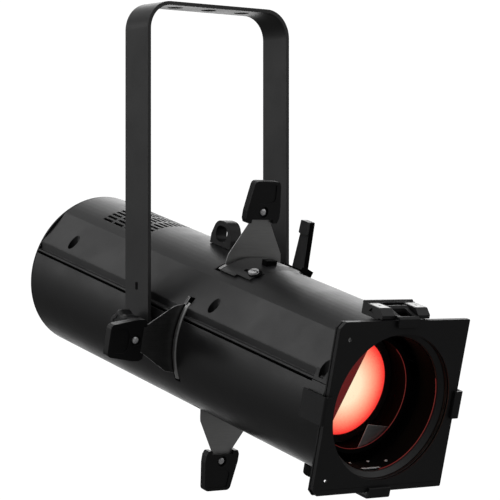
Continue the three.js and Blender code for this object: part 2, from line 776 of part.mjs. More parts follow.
function gelFrame() {
  const { rear, front, half_x, low, high } = GEL_FRAME;
  const [big, small] = [6.5, 2.5];
  const plate = beamPrism(
    [
      [-half_x + big, low],
      [half_x - small, low],
      [half_x, low + small],
      [half_x, high - small],
      [half_x - small, high],
      [-half_x + big, high],
      [-half_x, high - big],
      [-half_x, low + big],
    ],
    [rear, front],
  );
  const through = [rear - 5, front + 5];
  return cut(plate, beamRod(FRONT_OPENING, through, 0, 0, 48), ...cornerHoles(through));
}

// A folded clip: a wall along the casing and a lip over the front of the frame.
function clip(wallAt, spanWidth) {
  const { rear, lip_rear, front, wall, lip } = CLIP;
  const leg = block([-spanWidth, spanWidth], [rear, front], [wallAt, wallAt + wall]);
  const hook = block([-spanWidth, spanWidth], [lip_rear, front], [wallAt + wall - lip, wallAt + wall]);
  return join(leg, hook);
}

function latchBracket() {
  const { rear, front, base, top, half, gap_half } = LATCH;
  const floor = block([-half, half], [rear, 292], [base, base + 2]);
  const backBar = block([-half, half], [rear, rear + 5], [base, top + 2]);
  const wing = (x) =>
    sidePrism(
      [
        [rear + 1, base + 2 + GAP],
        [front, base + 2 + GAP],
        [front, base + 6],
        [front - 5, top],
        [rear + 1, top],
      ],
      x,
    );
  const bridge = (x) => block(x, [rear + 1, 291], [base + 1, base + 3]);
  const pinHole = crossRod(LATCH_PIN.radius + GAP, [-60, 60], LATCH_PIN.s, LATCH_PIN.v, 16);
  return cut(
    join(
      floor,
      backBar,
      wing([-half, -gap_half]),
      wing([gap_half, half]),
      bridge([-half, -gap_half]),
      bridge([gap_half, half]),
    ),
    pinHole,
  );
}

function latchPin() {
  return crossRod(LATCH_PIN.radius, [-LATCH.half - 2, LATCH.half + 2], LATCH_PIN.s, LATCH_PIN.v, 16);
}

// Spring tongue: an eye on the pin, a plate over the frame's edge and a hooked lip in front.
function latchTongue() {
  const { half, top, thickness, front, low } = TONGUE;
  const span = [-half, half];
  const eye = crossRod(4.2, span, LATCH_PIN.s, LATCH_PIN.v);
  const plate = block(span, [LATCH_PIN.s, front], [top - thickness, top]);
  const lip = block(span, [front - 2.4, front], [low, top]);
  const bore = crossRod(LATCH_PIN.radius + GAP, [-60, 60], LATCH_PIN.s, LATCH_PIN.v, 16);
  return cut(join(eye, plate, lip), bore);
}

// ---- fittings on top ----

function safetyEye() {
  const length = EYE.to - EYE.from;
  const middle = (EYE.to + EYE.from) / 2;
  const height = EYE.top - EYE.base;
  const outline = new THREE.Shape();
  const corner = 8;
  outline.moveTo(middle - length / 2, EYE.base);
  outline.lineTo(middle + length / 2, EYE.base);
  outline.lineTo(middle + length / 2, EYE.top - corner);
  outline.absarc(middle + length / 2 - corner, EYE.top - corner, corner, 0, Math.PI / 2);
  outline.lineTo(middle - length / 2 + corner, EYE.top);
  outline.absarc(middle - length / 2 + corner, EYE.top - corner, corner, Math.PI / 2, Math.PI);
  const body = sidePrism(outline, [-EYE.half, EYE.half]);
  const hole = crossRod(EYE.hole, [-30, 30], middle, EYE.base + height / 2 + 1, 32);
  return cut(body, hole);
}

function slotCover() {
  const { from, step, to, wide, narrow, thickness } = SLOT_COVER;
  const layer = [COVER_LIFT, COVER_LIFT + thickness];
  const plate = join(
    casingBand(-wide, wide, layer, [from, step]),
    casingBand(-narrow, narrow, layer, [step - 0.5, to]),
  );
  const { station, angle, shank } = COVER_SCREW;
  return cut(plate, radialRod(shank + GAP, [70, 100], station, angle, 12));
}

function slotCoverScrew() {
  const { station, angle, head, shank } = COVER_SCREW;
  const seat = BARREL_RADIUS + COVER_LIFT + SLOT_COVER.thickness + GAP;
  return join(
    radialRod(shank, [80, seat + 1], station, angle, 12),
    radialRod(head, [seat, seat + 2.4], station, angle, 24),
  );
}

function slotCoverCatch() {
  const seat = BARREL_RADIUS + COVER_LIFT + SLOT_COVER.thickness + GAP;
  const { from, to, width, height, angle } = COVER_CATCH;
  return radialBlock(width, [from, to], [seat, seat + height], angle);
}

// ---- assembly ----

function barrel() {
  const group = new THREE.Group();
  group.position.z = -PIVOT_DROP;
  group.rotation.x = REST_PITCH;
  group.add(
    named("pivot_stud_left", pivotStud(-1), bareSteel),
    named("pivot_stud_right", pivotStud(1), bareSteel),
    named("upper_shell", upperShell(), powderCoat),
    named("lower_shell", lowerShell(), powderCoat),
    named("rear_panel", rearPanel(), powderCoat),
    named("display_window", displayWindow(), darkGlass),
    named("power_inlet", powerInlet(), blackPlastic),
    named("data_input", dataSocket(-1), blackPlastic),
    named("data_output", dataSocket(1), blackPlastic),
    named("heat_sink", heatSink(), bareAluminium),
    named("fan_frame", fanFrame(), blackPlastic),
    named("fan_rotor", fanRotor(), blackPlastic),
    named("led_board", ledBoard(), circuitBoard),
    named("power_supply", powerSupply(), bareAluminium),
    named("optic_tube", opticTube(), blackSteel),
    named("condenser_lens", lens(46.8, 3, -17.6, 4, 10), lensGlass),
    named("gate_rear_plate", gatePlate(GATE.rear, GATE.rear_aperture), blackSteel),
    named("gate_front_plate", gatePlate(GATE.front, GATE.front_aperture), blackSteel),
    named("front_hood", frontHood(), blackSteel),
    named("lens_cell", lensCell(), blackSteel),
    named("front_lens", lens(59.6, 3, 231, 6, 14), lensGlass),
    named("rear_lens", lens(48.6, 2.6, 199, 3, 5), lensGlass),
    named("focus_knob", focusKnob(), blackPlastic),
    named("frame_holder", frameHolder(), blackSteel),
    named("gel_frame", gelFrame(), blackSteel),
    named("latch_bracket", latchBracket(), blackSteel),
    named("latch_tongue", latchTongue(), blackSteel),
    named("latch_pin", latchPin(), bareSteel),
    named("safety_eye", safetyEye(), blackSteel),
    named("slot_cover", slotCover(), powderCoat),
    named("slot_cover_screw", slotCoverScrew(), bareSteel),
    named("slot_cover_catch", slotCoverCatch(), blackPlastic),
  );
  for (let k = 0; k < 4; k++) {
    group.add(named(`menu_button_${k + 1}`, menuButton(k), blackPlastic));
  }
  const clips = [
    ["clip_right", 90, 87.2],
    ["clip_left", -90, 87.2],
    ["clip_bottom", 180, 89.2],
  ];
  for (const [name, angle, wallAt] of clips) {
    const turn = new THREE.Group();
    turn.rotation.y = THREE.MathUtils.degToRad(angle);
    turn.add(named(name, clip(wallAt, CLIP.half), blackSteel));
    group.add(turn);
  }
  const shutters = [
    ["left", -90],
    ["bottom", 180],
    ["top", 0],
    ["right", 90],
  ];
  shutters.forEach(([name, angle], k) => group.add(shutterGroup(name, angle, k)));
  return group;
}

// The knob and the lever clamp the barrel's studs from outside the yoke.
function clamps() {
  const group = new THREE.Group();
  group.position.z = -PIVOT_DROP;
  group.add(
    named("tilt_knob", tiltKnob(), blackPlastic),
    named("tilt_lever", tiltLever(), blackPlastic),
  );
  return group;
}

const spotlight = new THREE.Group();
spotlight.add(
  named("yoke_strap", yokeStrap(), powderCoat),
  named("friction_washer_left", frictionWasher(-1), blackPlastic),
  named("friction_washer_right", frictionWasher(1), blackPlastic),
  clamps(),
  barrel(),
);

export default spotlight;
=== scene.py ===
import json
import math

import bmesh
import bpy
from mathutils import Matrix, Vector
from mathutils.geometry import delaunay_2d_cdt


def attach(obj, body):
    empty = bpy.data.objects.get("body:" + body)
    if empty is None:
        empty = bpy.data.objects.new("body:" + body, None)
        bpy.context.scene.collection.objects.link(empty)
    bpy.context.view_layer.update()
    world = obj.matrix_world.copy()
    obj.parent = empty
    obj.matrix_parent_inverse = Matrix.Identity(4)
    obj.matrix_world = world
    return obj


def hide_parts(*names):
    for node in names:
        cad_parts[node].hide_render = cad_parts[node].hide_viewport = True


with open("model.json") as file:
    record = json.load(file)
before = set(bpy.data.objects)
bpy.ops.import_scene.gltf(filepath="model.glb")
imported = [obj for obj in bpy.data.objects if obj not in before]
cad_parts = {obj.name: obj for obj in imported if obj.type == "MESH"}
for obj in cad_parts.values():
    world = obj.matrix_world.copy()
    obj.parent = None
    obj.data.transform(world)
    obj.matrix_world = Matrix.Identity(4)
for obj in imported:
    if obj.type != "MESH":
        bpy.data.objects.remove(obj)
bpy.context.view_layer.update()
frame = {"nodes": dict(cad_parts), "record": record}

MM = 0.001



def placed(name, data):
    """An object in the scene that shows this data."""
    obj = bpy.data.objects.new(name, data)
    bpy.context.scene.collection.objects.link(obj)
    return obj


def meshed(name, bm):
    """Mesh data made from a bmesh, which is freed."""
    data = bpy.data.meshes.new(name)
    bm.to_mesh(data)
    bm.free()
    return data


# ---- camera ----

CAMERA_AT = Vector((-1.4964, -1.9331, -0.2668))
CAMERA_TOWARDS = Vector((0.6263, 0.7796, 0.0029)).normalized()
LENS_MM = 164.8


def make_camera():
    data = bpy.data.cameras.new("camera")
    data.lens = LENS_MM
    data.sensor_width = 36.0
    camera = placed("camera", data)
    camera.location = CAMERA_AT
    camera.rotation_euler = CAMERA_TOWARDS.to_track_quat("-Z", "Y").to_euler()
    bpy.context.scene.camera = camera


make_camera()

# ---- places, from the frame ----

JOINTS = {joint["name"]: joint for joint in frame["record"]["behaviour"]["joints"]}
SIDES = ((-1, "left"), (1, "right"))
PIVOT = Vector(JOINTS["tilt"]["pos_m"])
BEAM = Vector(JOINTS["focus_slide"]["axis"]).normalized()
ACROSS = Vector((1, 0, 0))
UP = BEAM.cross(ACROSS).normalized()

# Barrel coordinates are millimetres: x across, y backwards along the beam and z up, from the tilt
# axis. A station s is a distance forward, so y is -s.
BARREL = (
    Matrix.Translation(PIVOT)
    @ Matrix((ACROSS, -BEAM, UP)).transposed().to_4x4()
    @ Matrix.Scale(MM, 4)
)
LEVEL = Matrix.Translation(PIVOT) @ Matrix.Scale(MM, 4)


def barrel_box(node):
    """The lowest and highest x, s and v of a CAD node, in barrel millimetres."""
    turn = BARREL.inverted()
    points = [turn @ vertex.co for vertex in frame["nodes"][node].data.vertices]
    spans = []
    for values in zip(*((p.x, -p.y, p.z) for p in points)):
        spans.append((min(values), max(values)))
    return spans


# ---- outlines ----


def circle(radius, count=32, x=0.0, y=0.0):
    turns = [2 * math.pi * i / count for i in range(count)]
    return [(x + radius * math.cos(t), y + radius * math.sin(t)) for t in turns]


def rectangle(x0, x1, y0, y1):
    return [(x0, y0), (x1, y0), (x1, y1), (x0, y1)]


def slot_outline(x0, x1, y0, y1, steps=5):
    """A long hole with round ends, along y."""
    radius = (x1 - x0) / 2
    return soften(rectangle(x0, x1, y0, y1), radius * 0.98, steps)


def soften(points, radius, steps=4):
    """A closed outline with its corners turned into arcs; radius may be one value per corner."""
    made = []
    count = len(points)
    for i, point in enumerate(points):
        here = Vector(point)
        before = Vector(points[i - 1]) - here
        after = Vector(points[(i + 1) % count]) - here
        r = radius[i] if isinstance(radius, (list, tuple)) else radius
        angle = before.angle(after, math.pi)
        if r <= 0 or angle > math.radians(176):
            made.append(tuple(here))
            continue
        reach = min(r / math.tan(angle / 2), 0.49 * before.length, 0.49 * after.length)
        start = here + before.normalized() * reach
        end = here + after.normalized() * reach
        for k in range(steps + 1):
            t = k / steps
            arc = start * (1 - t) ** 2 + here * 2 * t * (1 - t) + end * t**2
            made.append(tuple(arc))
    return made


def panel(x0, x1, y0, y1, radius, steps):
    """A rectangle with rounded corners."""
    return soften(rectangle(x0, x1, y0, y1), radius, steps)


def mirrored(points):
    """An outline's right half, and its mirror image, as one closed outline."""
    return list(points) + [(-x, y) for x, y in reversed(points)]


# ---- solids, as bmeshes in millimetres ----


def along_beam(a, b, c):
    """x, v and a station s."""
    return Vector((a, -c, b))


def along_across(a, b, c):
    """s, v and x."""
    return Vector((c, -a, b))


def along_up(a, b, c):
    """x, s and v."""
    return Vector((a, -b, c))


def is_within(x, y, loop):
    """Whether a point is inside a closed loop, by the edges that a ray crosses."""
    inside = False
    for (x0, y0), (x1, y1) in zip(loop, [*loop[1:], loop[0]]):
        if (y0 > y) != (y1 > y) and x < x0 + (y - y0) / (y1 - y0) * (x1 - x0):
            inside = not inside
    return inside


def prism(loops, low, high, place=along_beam):
    """The first loop's area without the others', between two levels."""
    if isinstance(loops[0][0], (int, float)):
        loops = [loops]
    flat = [Vector(p) for loop in loops for p in loop]
    edges = []
    start = 0
    for loop in loops:
        count = len(loop)
        edges += [(start + i, start + (i + 1) % count) for i in range(count)]
        start += count
    points, _, faces = delaunay_2d_cdt(flat, edges, [], 1, 1e-5)[:3]
    kept = []
    for face in faces:
        middle = sum((points[i] for i in face), Vector((0, 0))) / len(face)
        if sum(is_within(*middle, loop) for loop in loops) == 1:
            kept.append(face)
    bm = bmesh.new()
    near = [bm.verts.new(place(p.x, p.y, low)) for p in points]
    far = [bm.verts.new(place(p.x, p.y, high)) for p in points]
    directed = set()
    for face in kept:
        bm.faces.new([near[i] for i in face])
        bm.faces.new([far[i] for i in reversed(face)])
        directed.update(zip(face, face[1:] + face[:1]))
    for i, j in sorted(directed):
        if (j, i) not in directed:
            bm.faces.new((near[j], near[i], far[i], far[j]))
    return tidy(bm)


def forwards(x, v, s):
    """Puts a turned profile's station along the beam."""
    return Vector((x, -s, v))


def across(x, v, s):
    """Puts a turned profile's station along x."""
    return Vector((s, -x, v))


def upwards(x, v, s):
    """Puts a turned profile's station along v."""
    return Vector((x, v, s))


def turned(profile, sides=64, place=forwards):
    """A closed profile of (radius, station) points turned about an axis."""
    bm = bmesh.new()
    rings = []
    for radius, station in profile:
        if radius < 1e-6:
            rings.append([bm.verts.new(place(0, 0, station))])
            continue
        turns = [2 * math.pi * i / sides for i in range(sides)]
        rings.append(
            [bm.verts.new(place(radius * math.sin(t), radius * math.cos(t), station)) for t in turns]
        )
    for i, ring in enumerate(rings):
        following = rings[(i + 1) % len(rings)]
        for k in range(sides):
            corners = [
                ring[k % len(ring)],
                ring[(k + 1) % len(ring)],
                following[(k + 1) % len(following)],
                following[k % len(following)],
            ]
            unique = list(dict.fromkeys(corners))
            if len(unique) > 2:
                bm.faces.new(unique)
    return tidy(bm)


def skinned(rings):
    """A solid through rings of points, capped at both ends."""
    bm = bmesh.new()
    made = [[bm.verts.new(point) for point in ring] for ring in rings]
    count = len(made[0])
    for near, far in zip(made, made[1:]):
        for k in range(count):
            bm.faces.new((near[k], near[(k + 1) % count], far[(k + 1) % count], far[k]))
    bm.faces.new(made[0])
    bm.faces.new(made[-1][::-1])
    return tidy(bm)


def lofted(outline, levels, place):
    """An outline at several (scale, level) pairs."""
    return skinned([[place(x * r, y * r, level) for x, y in outline] for r, level in levels])


def block(x, s, v):
    return prism(rectangle(*x, *v), *s)


def tidy(bm):
    bmesh.ops.remove_doubles(bm, verts=bm.verts, dist=1e-4)
    bmesh.ops.recalc_face_normals(bm, faces=bm.faces)
    return bm


def turned_by(bm, degrees):
    """Turned about the beam axis, clockwise seen from behind."""
    bmesh.ops.transform(bm, matrix=Matrix.Rotation(math.radians(degrees), 4, "Y"), verts=bm.verts)
    return bm


def shifted(bm, x=0.0, s=0.0, v=0.0):
    bmesh.ops.translate(bm, vec=Vector((x, -s, v)), verts=bm.verts)
    return bm


def together(*parts):
    """One bmesh that holds them all, unjoined."""
    whole = parts[0]
    for part in parts[1:]:
        data = meshed("part", part)
        whole.from_mesh(data)
        bpy.data.meshes.remove(data)
    return whole


def combined(base, tools, operation):
    """A boolean of closed bmeshes."""
    made = [placed("work", meshed("work", bm)) for bm in [base, *tools]]
    for tool in made[1:]:
        modifier = made[0].modifiers.new("work", "BOOLEAN")
        modifier.operation = operation
        modifier.solver = "MANIFOLD"
        modifier.object = tool
    result = bmesh.new()
    result.from_object(made[0], bpy.context.evaluated_depsgraph_get())
    for obj in made:
        data = obj.data
        bpy.data.objects.remove(obj)
        bpy.data.meshes.remove(data)
    bmesh.ops.remove_doubles(result, verts=result.verts, dist=2e-3)
    bmesh.ops.dissolve_degenerate(result, edges=result.edges, dist=1e-3)
    return result


def cut(base, *tools):
    return combined(base, tools, "DIFFERENCE")


def join(base, *tools):
    return combined(base, tools, "UNION")


def flattened(bm):
    """Its coplanar triangles made into whole faces."""
    bmesh.ops.dissolve_limit(bm, angle_limit=math.radians(0.3), verts=bm.verts, edges=bm.edges)
    return bm


WEAR = "wear"


def rounded(bm, width, segments=2, limit=34.0, clamp=True):
    """Its sharp edges made round, with the rounds marked as worn."""
    bm.normal_update()
    sharp = []
    for edge in bm.edges:
        if len(edge.link_faces) == 2 and edge.calc_face_angle(0) > math.radians(limit):
            sharp.append(edge)
    made = bmesh.ops.bevel(
        bm,
        geom=sharp,
        offset=width,
        offset_type="OFFSET",
        segments=segments,
        profile=0.5,
        affect="EDGES",
        clamp_overlap=clamp,
    )
    layer = bm.loops.layers.float.get(WEAR) or bm.loops.layers.float.new(WEAR)
    for face in made["faces"]:
        for loop in face.loops:
            loop[layer] = 1.0
    return bm


# ---- materials ----


class Nodes:
    """A material's node tree, with short ways to add to it."""

    def __init__(self, name):
        self.material = bpy.data.materials.new(name)
        self.material.use_nodes = True
        self.tree = self.material.node_tree
        self.shader = self.tree.nodes["Principled BSDF"]
        self.place = self.add("ShaderNodeTexCoord").outputs["Object"]

    def add(self, kind, **values):
        node = self.tree.nodes.new(kind)
        for name, value in values.items():
            if hasattr(node, name):
                setattr(node, name, value)
            else:
                node.inputs[name.replace("_", " ")].default_value = value
        return node

    def link(self, source, target):
        self.tree.links.new(source, target)

    def stretched(self, scale):
        node = self.add("ShaderNodeMapping")
        node.inputs["Scale"].default_value = scale
        self.link(self.place, node.inputs["Vector"])
        return node.outputs["Vector"]

    def noise(self, scale, detail=3.0, roughness=0.55, vector=None):
        node = self.add("ShaderNodeTexNoise", Scale=scale, Detail=detail, Roughness=roughness)
        self.link(vector or self.place, node.inputs["Vector"])
        return node.outputs["Fac"]

    def cells(self, scale):
        node = self.add("ShaderNodeTexVoronoi", feature="SMOOTH_F1", Scale=scale)
        self.link(self.place, node.inputs["Vector"])
        return node.outputs["Distance"]

    def ranged(self, value, low, high, to_low, to_high):
        node = self.add("ShaderNodeMapRange")
        ends = {"From Min": low, "From Max": high, "To Min": to_low, "To Max": to_high}
        for name, number in ends.items():
            node.inputs[name].default_value = number
        self.link(value, node.inputs["Value"])
        return node.outputs["Result"]

    def maths(self, operation, first, second):
        node = self.add("ShaderNodeMath", operation=operation)
        for socket, value in zip(node.inputs, (first, second)):
            if isinstance(value, (int, float)):
                socket.default_value = value
            else:
                self.link(value, socket)
        return node.outputs[0]

    def mixed(self, factor, first, second):
        node = self.add("ShaderNodeMix", data_type="RGBA")
        self.link(factor, node.inputs[0])
        for socket, value in zip((node.inputs[6], node.inputs[7]), (first, second)):
            if isinstance(value, tuple):
                socket.default_value = (*value, 1.0)
            else:
                self.link(value, socket)
        return node.outputs[2]

    def bumps(self, *layers):
        """Layers of (height, strength, distance in metres), one on the other."""
        below = None
        for height, strength, distance in layers:
            node = self.add("ShaderNodeBump", Strength=strength, Distance=distance)
            self.link(height, node.inputs["Height"])
            if below:
                self.link(below, node.inputs["Normal"])
            below = node.outputs["Normal"]
        self.link(below, self.shader.inputs["Normal"])

    def edges(self, low=0.42, high=0.62):
        """Where a rounded edge has worn, in patches."""
        worn = self.add("ShaderNodeAttribute", attribute_name=WEAR).outputs["Fac"]
        patches = self.ranged(self.noise(140.0, 4.0), low, high, 0.0, 1.0)
        return self.maths("MULTIPLY", worn, patches)

    def set(self, **values):
        for name, value in values.items():
            self.shader.inputs[name.replace("_", " ")].default_value = value

    def surface(self, color, roughness):
        self.link(color, self.shader.inputs["Base Color"])
        self.link(roughness, self.shader.inputs["Roughness"])
        return self.material


def coated(name, dark, light, worn, roughness, grain, grain_height, gloss):
    """Paint or moulded plastic: a fine grain, faint cloudiness, dust specks and worn edges."""
    n = Nodes(name)
    n.set(Specular_IOR_Level=gloss)
    cloud = n.noise(9.0, 4.0, 0.6)
    speck = n.ranged(n.noise(1900.0, 2.0), 0.60, 0.78, 0.0, 1.0)
    paint = n.mixed(n.ranged(cloud, 0.3, 0.7, 0.0, 1.0), dark, light)
    dusty = n.mixed(n.maths("MULTIPLY", speck, 0.35), paint, worn)
    color = n.mixed(n.maths("MULTIPLY", n.edges(), 0.75), dusty, worn)
    smudge = n.ranged(n.noise(22.0, 5.0, 0.65), 0.3, 0.75, roughness - 0.05, roughness + 0.06)
    shine = n.maths("ADD", smudge, n.ranged(n.noise(2600.0, 1.0), 0.3, 0.7, -0.03, 0.03))
    n.bumps(
        (n.noise(grain / 5, 2.0), 0.20, 2.0e-4),
        (n.cells(grain), grain_height, 1.2e-4),
    )
    return n.surface(color, shine)


def brushed(name, dark, light, worn, roughness, lines, metallic):
    """Sheet metal with brush lines, handling marks and bright edges."""
    n = Nodes(name)
    n.set(Metallic=metallic)
    streaks = n.noise(1.0, 4.0, 0.7, n.stretched(lines))
    marks = n.noise(30.0, 5.0, 0.7)
    tone = n.mixed(n.ranged(streaks, 0.3, 0.7, 0.0, 1.0), dark, light)
    stained = n.mixed(n.ranged(marks, 0.55, 0.8, 0.0, 0.5), tone, dark)
    color = n.mixed(n.edges(0.3, 0.5), stained, worn)
    base = n.ranged(streaks, 0.3, 0.7, roughness - 0.06, roughness + 0.06)
    shine = n.maths("ADD", base, n.ranged(marks, 0.4, 0.8, -0.02, 0.08))
    n.bumps((streaks, 0.12, 5e-5), (n.noise(900.0, 2.0), 0.05, 5e-5))
    return n.surface(color, shine)


def glass(name, tint, roughness):
    """Optical glass that only shows its gloss, with a trace of dust."""
    n = Nodes(name)
    dust = n.ranged(n.noise(300.0, 4.0), 0.62, 0.8, 0.0, 0.05)
    facing = n.add("ShaderNodeLayerWeight", Blend=0.5).outputs["Facing"]
    gloss = n.ranged(facing, 0.5, 1.0, 0.045, 0.7)
    n.link(n.maths("ADD", gloss, dust), n.shader.inputs["Alpha"])
    color = n.mixed(n.ranged(n.noise(12.0), 0.3, 0.7, 0.0, 1.0), tint, (0.02, 0.02, 0.025))
    return n.surface(color, n.ranged(n.noise(60.0, 4.0), 0.4, 0.8, roughness, roughness + 0.06))


def circuit(name):
    """Solder-masked board with copper tracks under the mask."""
    n = Nodes(name)
    tracks = n.ranged(n.cells(260.0), 0.25, 0.32, 0.0, 1.0)
    mask = n.mixed(tracks, (0.010, 0.09, 0.035), (0.02, 0.16, 0.06))
    color = n.mixed(n.edges(), mask, (0.35, 0.3, 0.16))
    n.bumps((tracks, 0.3, 4e-5))
    return n.surface(color, n.ranged(n.noise(80.0), 0.3, 0.7, 0.3, 0.45))


GLOW = "glow"
GLOW_COLORS = [
    (0.00, (1.00, 0.88, 0.62)),
    (0.34, (1.00, 0.80, 0.55)),
    (0.48, (1.00, 0.58, 0.38)),
    (0.61, (1.00, 0.38, 0.24)),
    (0.72, (1.00, 0.22, 0.14)),
    (0.83, (0.98, 0.085, 0.060)),
    (0.91, (0.93, 0.024, 0.022)),
    (0.99, (0.105, 0.010, 0.010)),
]


def glowing(name):
    """The lit rear lens face: warm white in the middle, red at the rim."""
    n = Nodes(name)
    radius = n.add("ShaderNodeAttribute", attribute_name=GLOW).outputs["Fac"]
    ramp = n.add("ShaderNodeValToRGB")
    elements = ramp.color_ramp.elements
    for i, (at, color) in enumerate(GLOW_COLORS):
        element = elements[i] if i < 2 else elements.new(at)
        element.position = at
        element.color = (*color, 1.0)
    grain = n.ranged(n.noise(700.0, 3.0), 0.3, 0.7, -0.02, 0.02)
    n.link(n.maths("ADD", radius, grain), ramp.inputs["Fac"])
    n.link(ramp.outputs["Color"], n.shader.inputs["Emission Color"])
    n.set(Emission_Strength=1.12)
    color = n.mixed(n.noise(200.0), (0.02, 0.004, 0.004), (0.03, 0.008, 0.008))
    return n.surface(color, n.ranged(n.noise(60.0), 0.4, 0.8, 0.3, 0.4))


# Dark, light and worn colors, roughness, grain and its height, gloss.
COATS = {
    "powder_coat": (
        (0.0105, 0.0105, 0.0110), (0.0135, 0.0135, 0.0140), (0.05, 0.05, 0.052),
        0.40, 1500.0, 0.10, 0.5,
    ),
    "black_steel": (
        (0.0075, 0.0075, 0.0080), (0.0100, 0.0100, 0.0105), (0.06, 0.06, 0.062),
        0.46, 1900.0, 0.10, 0.4,
    ),
    "black_plastic": (
        (0.0048, 0.0048, 0.0050), (0.0068, 0.0068, 0.0072), (0.035, 0.035, 0.036),
        0.40, 1100.0, 0.16, 0.42,
    ),
    # painted light: a lighter copy of the powder coat that stands in for light on the yoke; the hood
    # and the lens baffle wear it too
    "painted_light_coat": (
        (0.0180, 0.0180, 0.0184), (0.0215, 0.0215, 0.0220), (0.06, 0.06, 0.062),
        0.42, 1500.0, 0.10, 0.5,
    ),
    # painted light: a much lighter copy of the black plastic, which stands in for light on the tilt
    # lever
    "painted_light_plastic": (
        (0.070, 0.070, 0.071), (0.082, 0.082, 0.084), (0.13, 0.13, 0.132),
        0.46, 1100.0, 0.16, 0.5,
    ),
    # painted shade: a dead black, matt coat for plates, strips and parts that stand in for shade
    "painted_shade_black": (
        (0.0015, 0.0015, 0.0015), (0.0025, 0.0025, 0.0025), (0.006, 0.006, 0.006),
        0.75, 900.0, 0.10, 0.08,
    ),
}
# Dark, light and worn colors, roughness, brush line scale, metallic.
METALS = {
    "shutter_steel": (
        (0.46, 0.46, 0.455), (0.55, 0.55, 0.545), (0.85, 0.85, 0.85),
        0.42, (60.0, 60.0, 900.0), 1.0,
    ),
    # painted shade: a darker copy of the shutter steel for the left blade and its guide, which lie in
    # shade
    "shaded_steel": (
        (0.13, 0.13, 0.13), (0.17, 0.17, 0.17), (0.75, 0.75, 0.75),
        0.42, (60.0, 60.0, 900.0), 1.0,
    ),
    "bare_steel": (
        (0.72, 0.72, 0.73), (0.92, 0.92, 0.93), (0.95, 0.95, 0.95),
        0.26, (500.0, 500.0, 500.0), 0.35,
    ),
    "aluminium": (
        (0.45, 0.46, 0.47), (0.62, 0.63, 0.64), (0.9, 0.9, 0.9),
        0.36, (700.0, 60.0, 700.0), 1.0,
    ),
}
MATERIALS = {
    **{name: coated(name, *values) for name, values in COATS.items()},
    **{name: brushed(name, *values) for name, values in METALS.items()},
    "circuit_board": circuit("circuit_board"),
    "lens_glass": glass("lens_glass", (0.05, 0.02, 0.02), 0.03),
    "dark_window": glass("dark_window", (0.01, 0.012, 0.016), 0.08),
    "lit_lens": glowing("lit_lens"),
}

# ---- pieces ----


def piece(name, bm, body, slot, replaces=(), place=BARREL, smooth=38.0, coat=None):
    """An object made from a bmesh in millimetres, riding on a CAD body.

    A coat is the material shown instead of the slot's own.
    """
    bm.transform(place)
    bm.normal_update()
    for face in bm.faces:
        face.smooth = True
    for edge in bm.edges:
        edge.smooth = len(edge.link_faces) == 2 and edge.calc_face_angle(0) < math.radians(smooth)
    obj = placed(name, meshed(name, bm))
    obj.data.materials.append(MATERIALS[coat or slot])
    weighted = obj.modifiers.new("normals", "WEIGHTED_NORMAL")
    weighted.keep_sharp = True
    weighted.weight = 80
    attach(obj, body)
    if replaces:
        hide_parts(*replaces)
    return obj


# ---- casing ----

RADIUS = 86.0
WALL = 2.5
FLAT = (38.5, 66.0)
SEAM = 74.0
SEAM_GAP = 0.35
SHELL = (-216.6, 293.0)
RECESS_END = 271.0
RECESS_X = 79.1
LEDGE_V = 25.4
VENT = {"from": -158.5, "pitch": 20.4, "columns": 4, "length": 16.5, "rows": 7, "step": 4.15}
VENT_HALF = 1.12
SHUTTER_SLOT = (51.8, 60.6)
SLOT_SWEEP = 32.0
FOCUS_SLOT = (177.0, 237.0, 3.4)
SEAM_OPEN = 75.7
BORE = {"radius": 5.6, "wall": 1.5, "shank": 2.2}
# Upright screw bores as (word, station, x, floor, radius kept clear about the beam axis).
BORES = [
    ("rear", -168.0, 70.5, 34.0, 60.0),
    ("middle", 91.5, 70.5, 34.0, 60.0),
    ("front", 281.0, 76.8, 27.0, 76.6),
]


def casing_radius(angle):
    a = abs(angle)
    if a <= FLAT[0] or a >= FLAT[1]:
        return RADIUS
    middle = sum(FLAT) / 2
    return RADIUS * math.cos(math.radians(FLAT[1] - middle)) / math.cos(math.radians(a - middle))


def polar(radius, angle):
    turn = math.radians(angle)
    return radius * math.sin(turn), radius * math.cos(turn)


def upper_profile():
    """(angle, outer, inner, sunken outer, sunken inner) across the upper casing."""
    rows = [k * VENT["step"] + e for k in range(8) for e in (-VENT_HALF, VENT_HALF)]
    gaps = [(k + 0.5) * VENT["step"] for k in range(8)]
    half = sorted([a for a in rows if a > 0] + gaps + [SLOT_SWEEP, 34.2, 36.4, FLAT[0]])
    half += [43.0, 47.0, 52.25, 58.0, 62.0, FLAT[1]]
    recess = [(66.6, 0.5), (67.4, 1.0), (70.0, 1.0), (72.2, 1.0), (72.8, 0.0), (SEAM, 0.0)]
    angles = [-a for a, _ in reversed(recess)] + [-a for a in reversed(half)]
    angles += half + [a for a, _ in recess]
    sunk = dict(recess)
    columns = []
    for angle in angles:
        outer = polar(casing_radius(angle), angle)
        inner = polar(casing_radius(angle) - WALL, angle)
        deep = sunk.get(abs(angle), 0.0)
        side = math.copysign(1.0, angle)
        sunken = outer
        if deep:
            x = outer[0] + (side * RECESS_X - outer[0]) * deep
            v = max(outer[1], LEDGE_V)
            sunken = (x, v)
            inner = (side * (RECESS_X - WALL * 0.7), v)
        columns.append((angle, outer, inner, sunken, inner))
    return columns


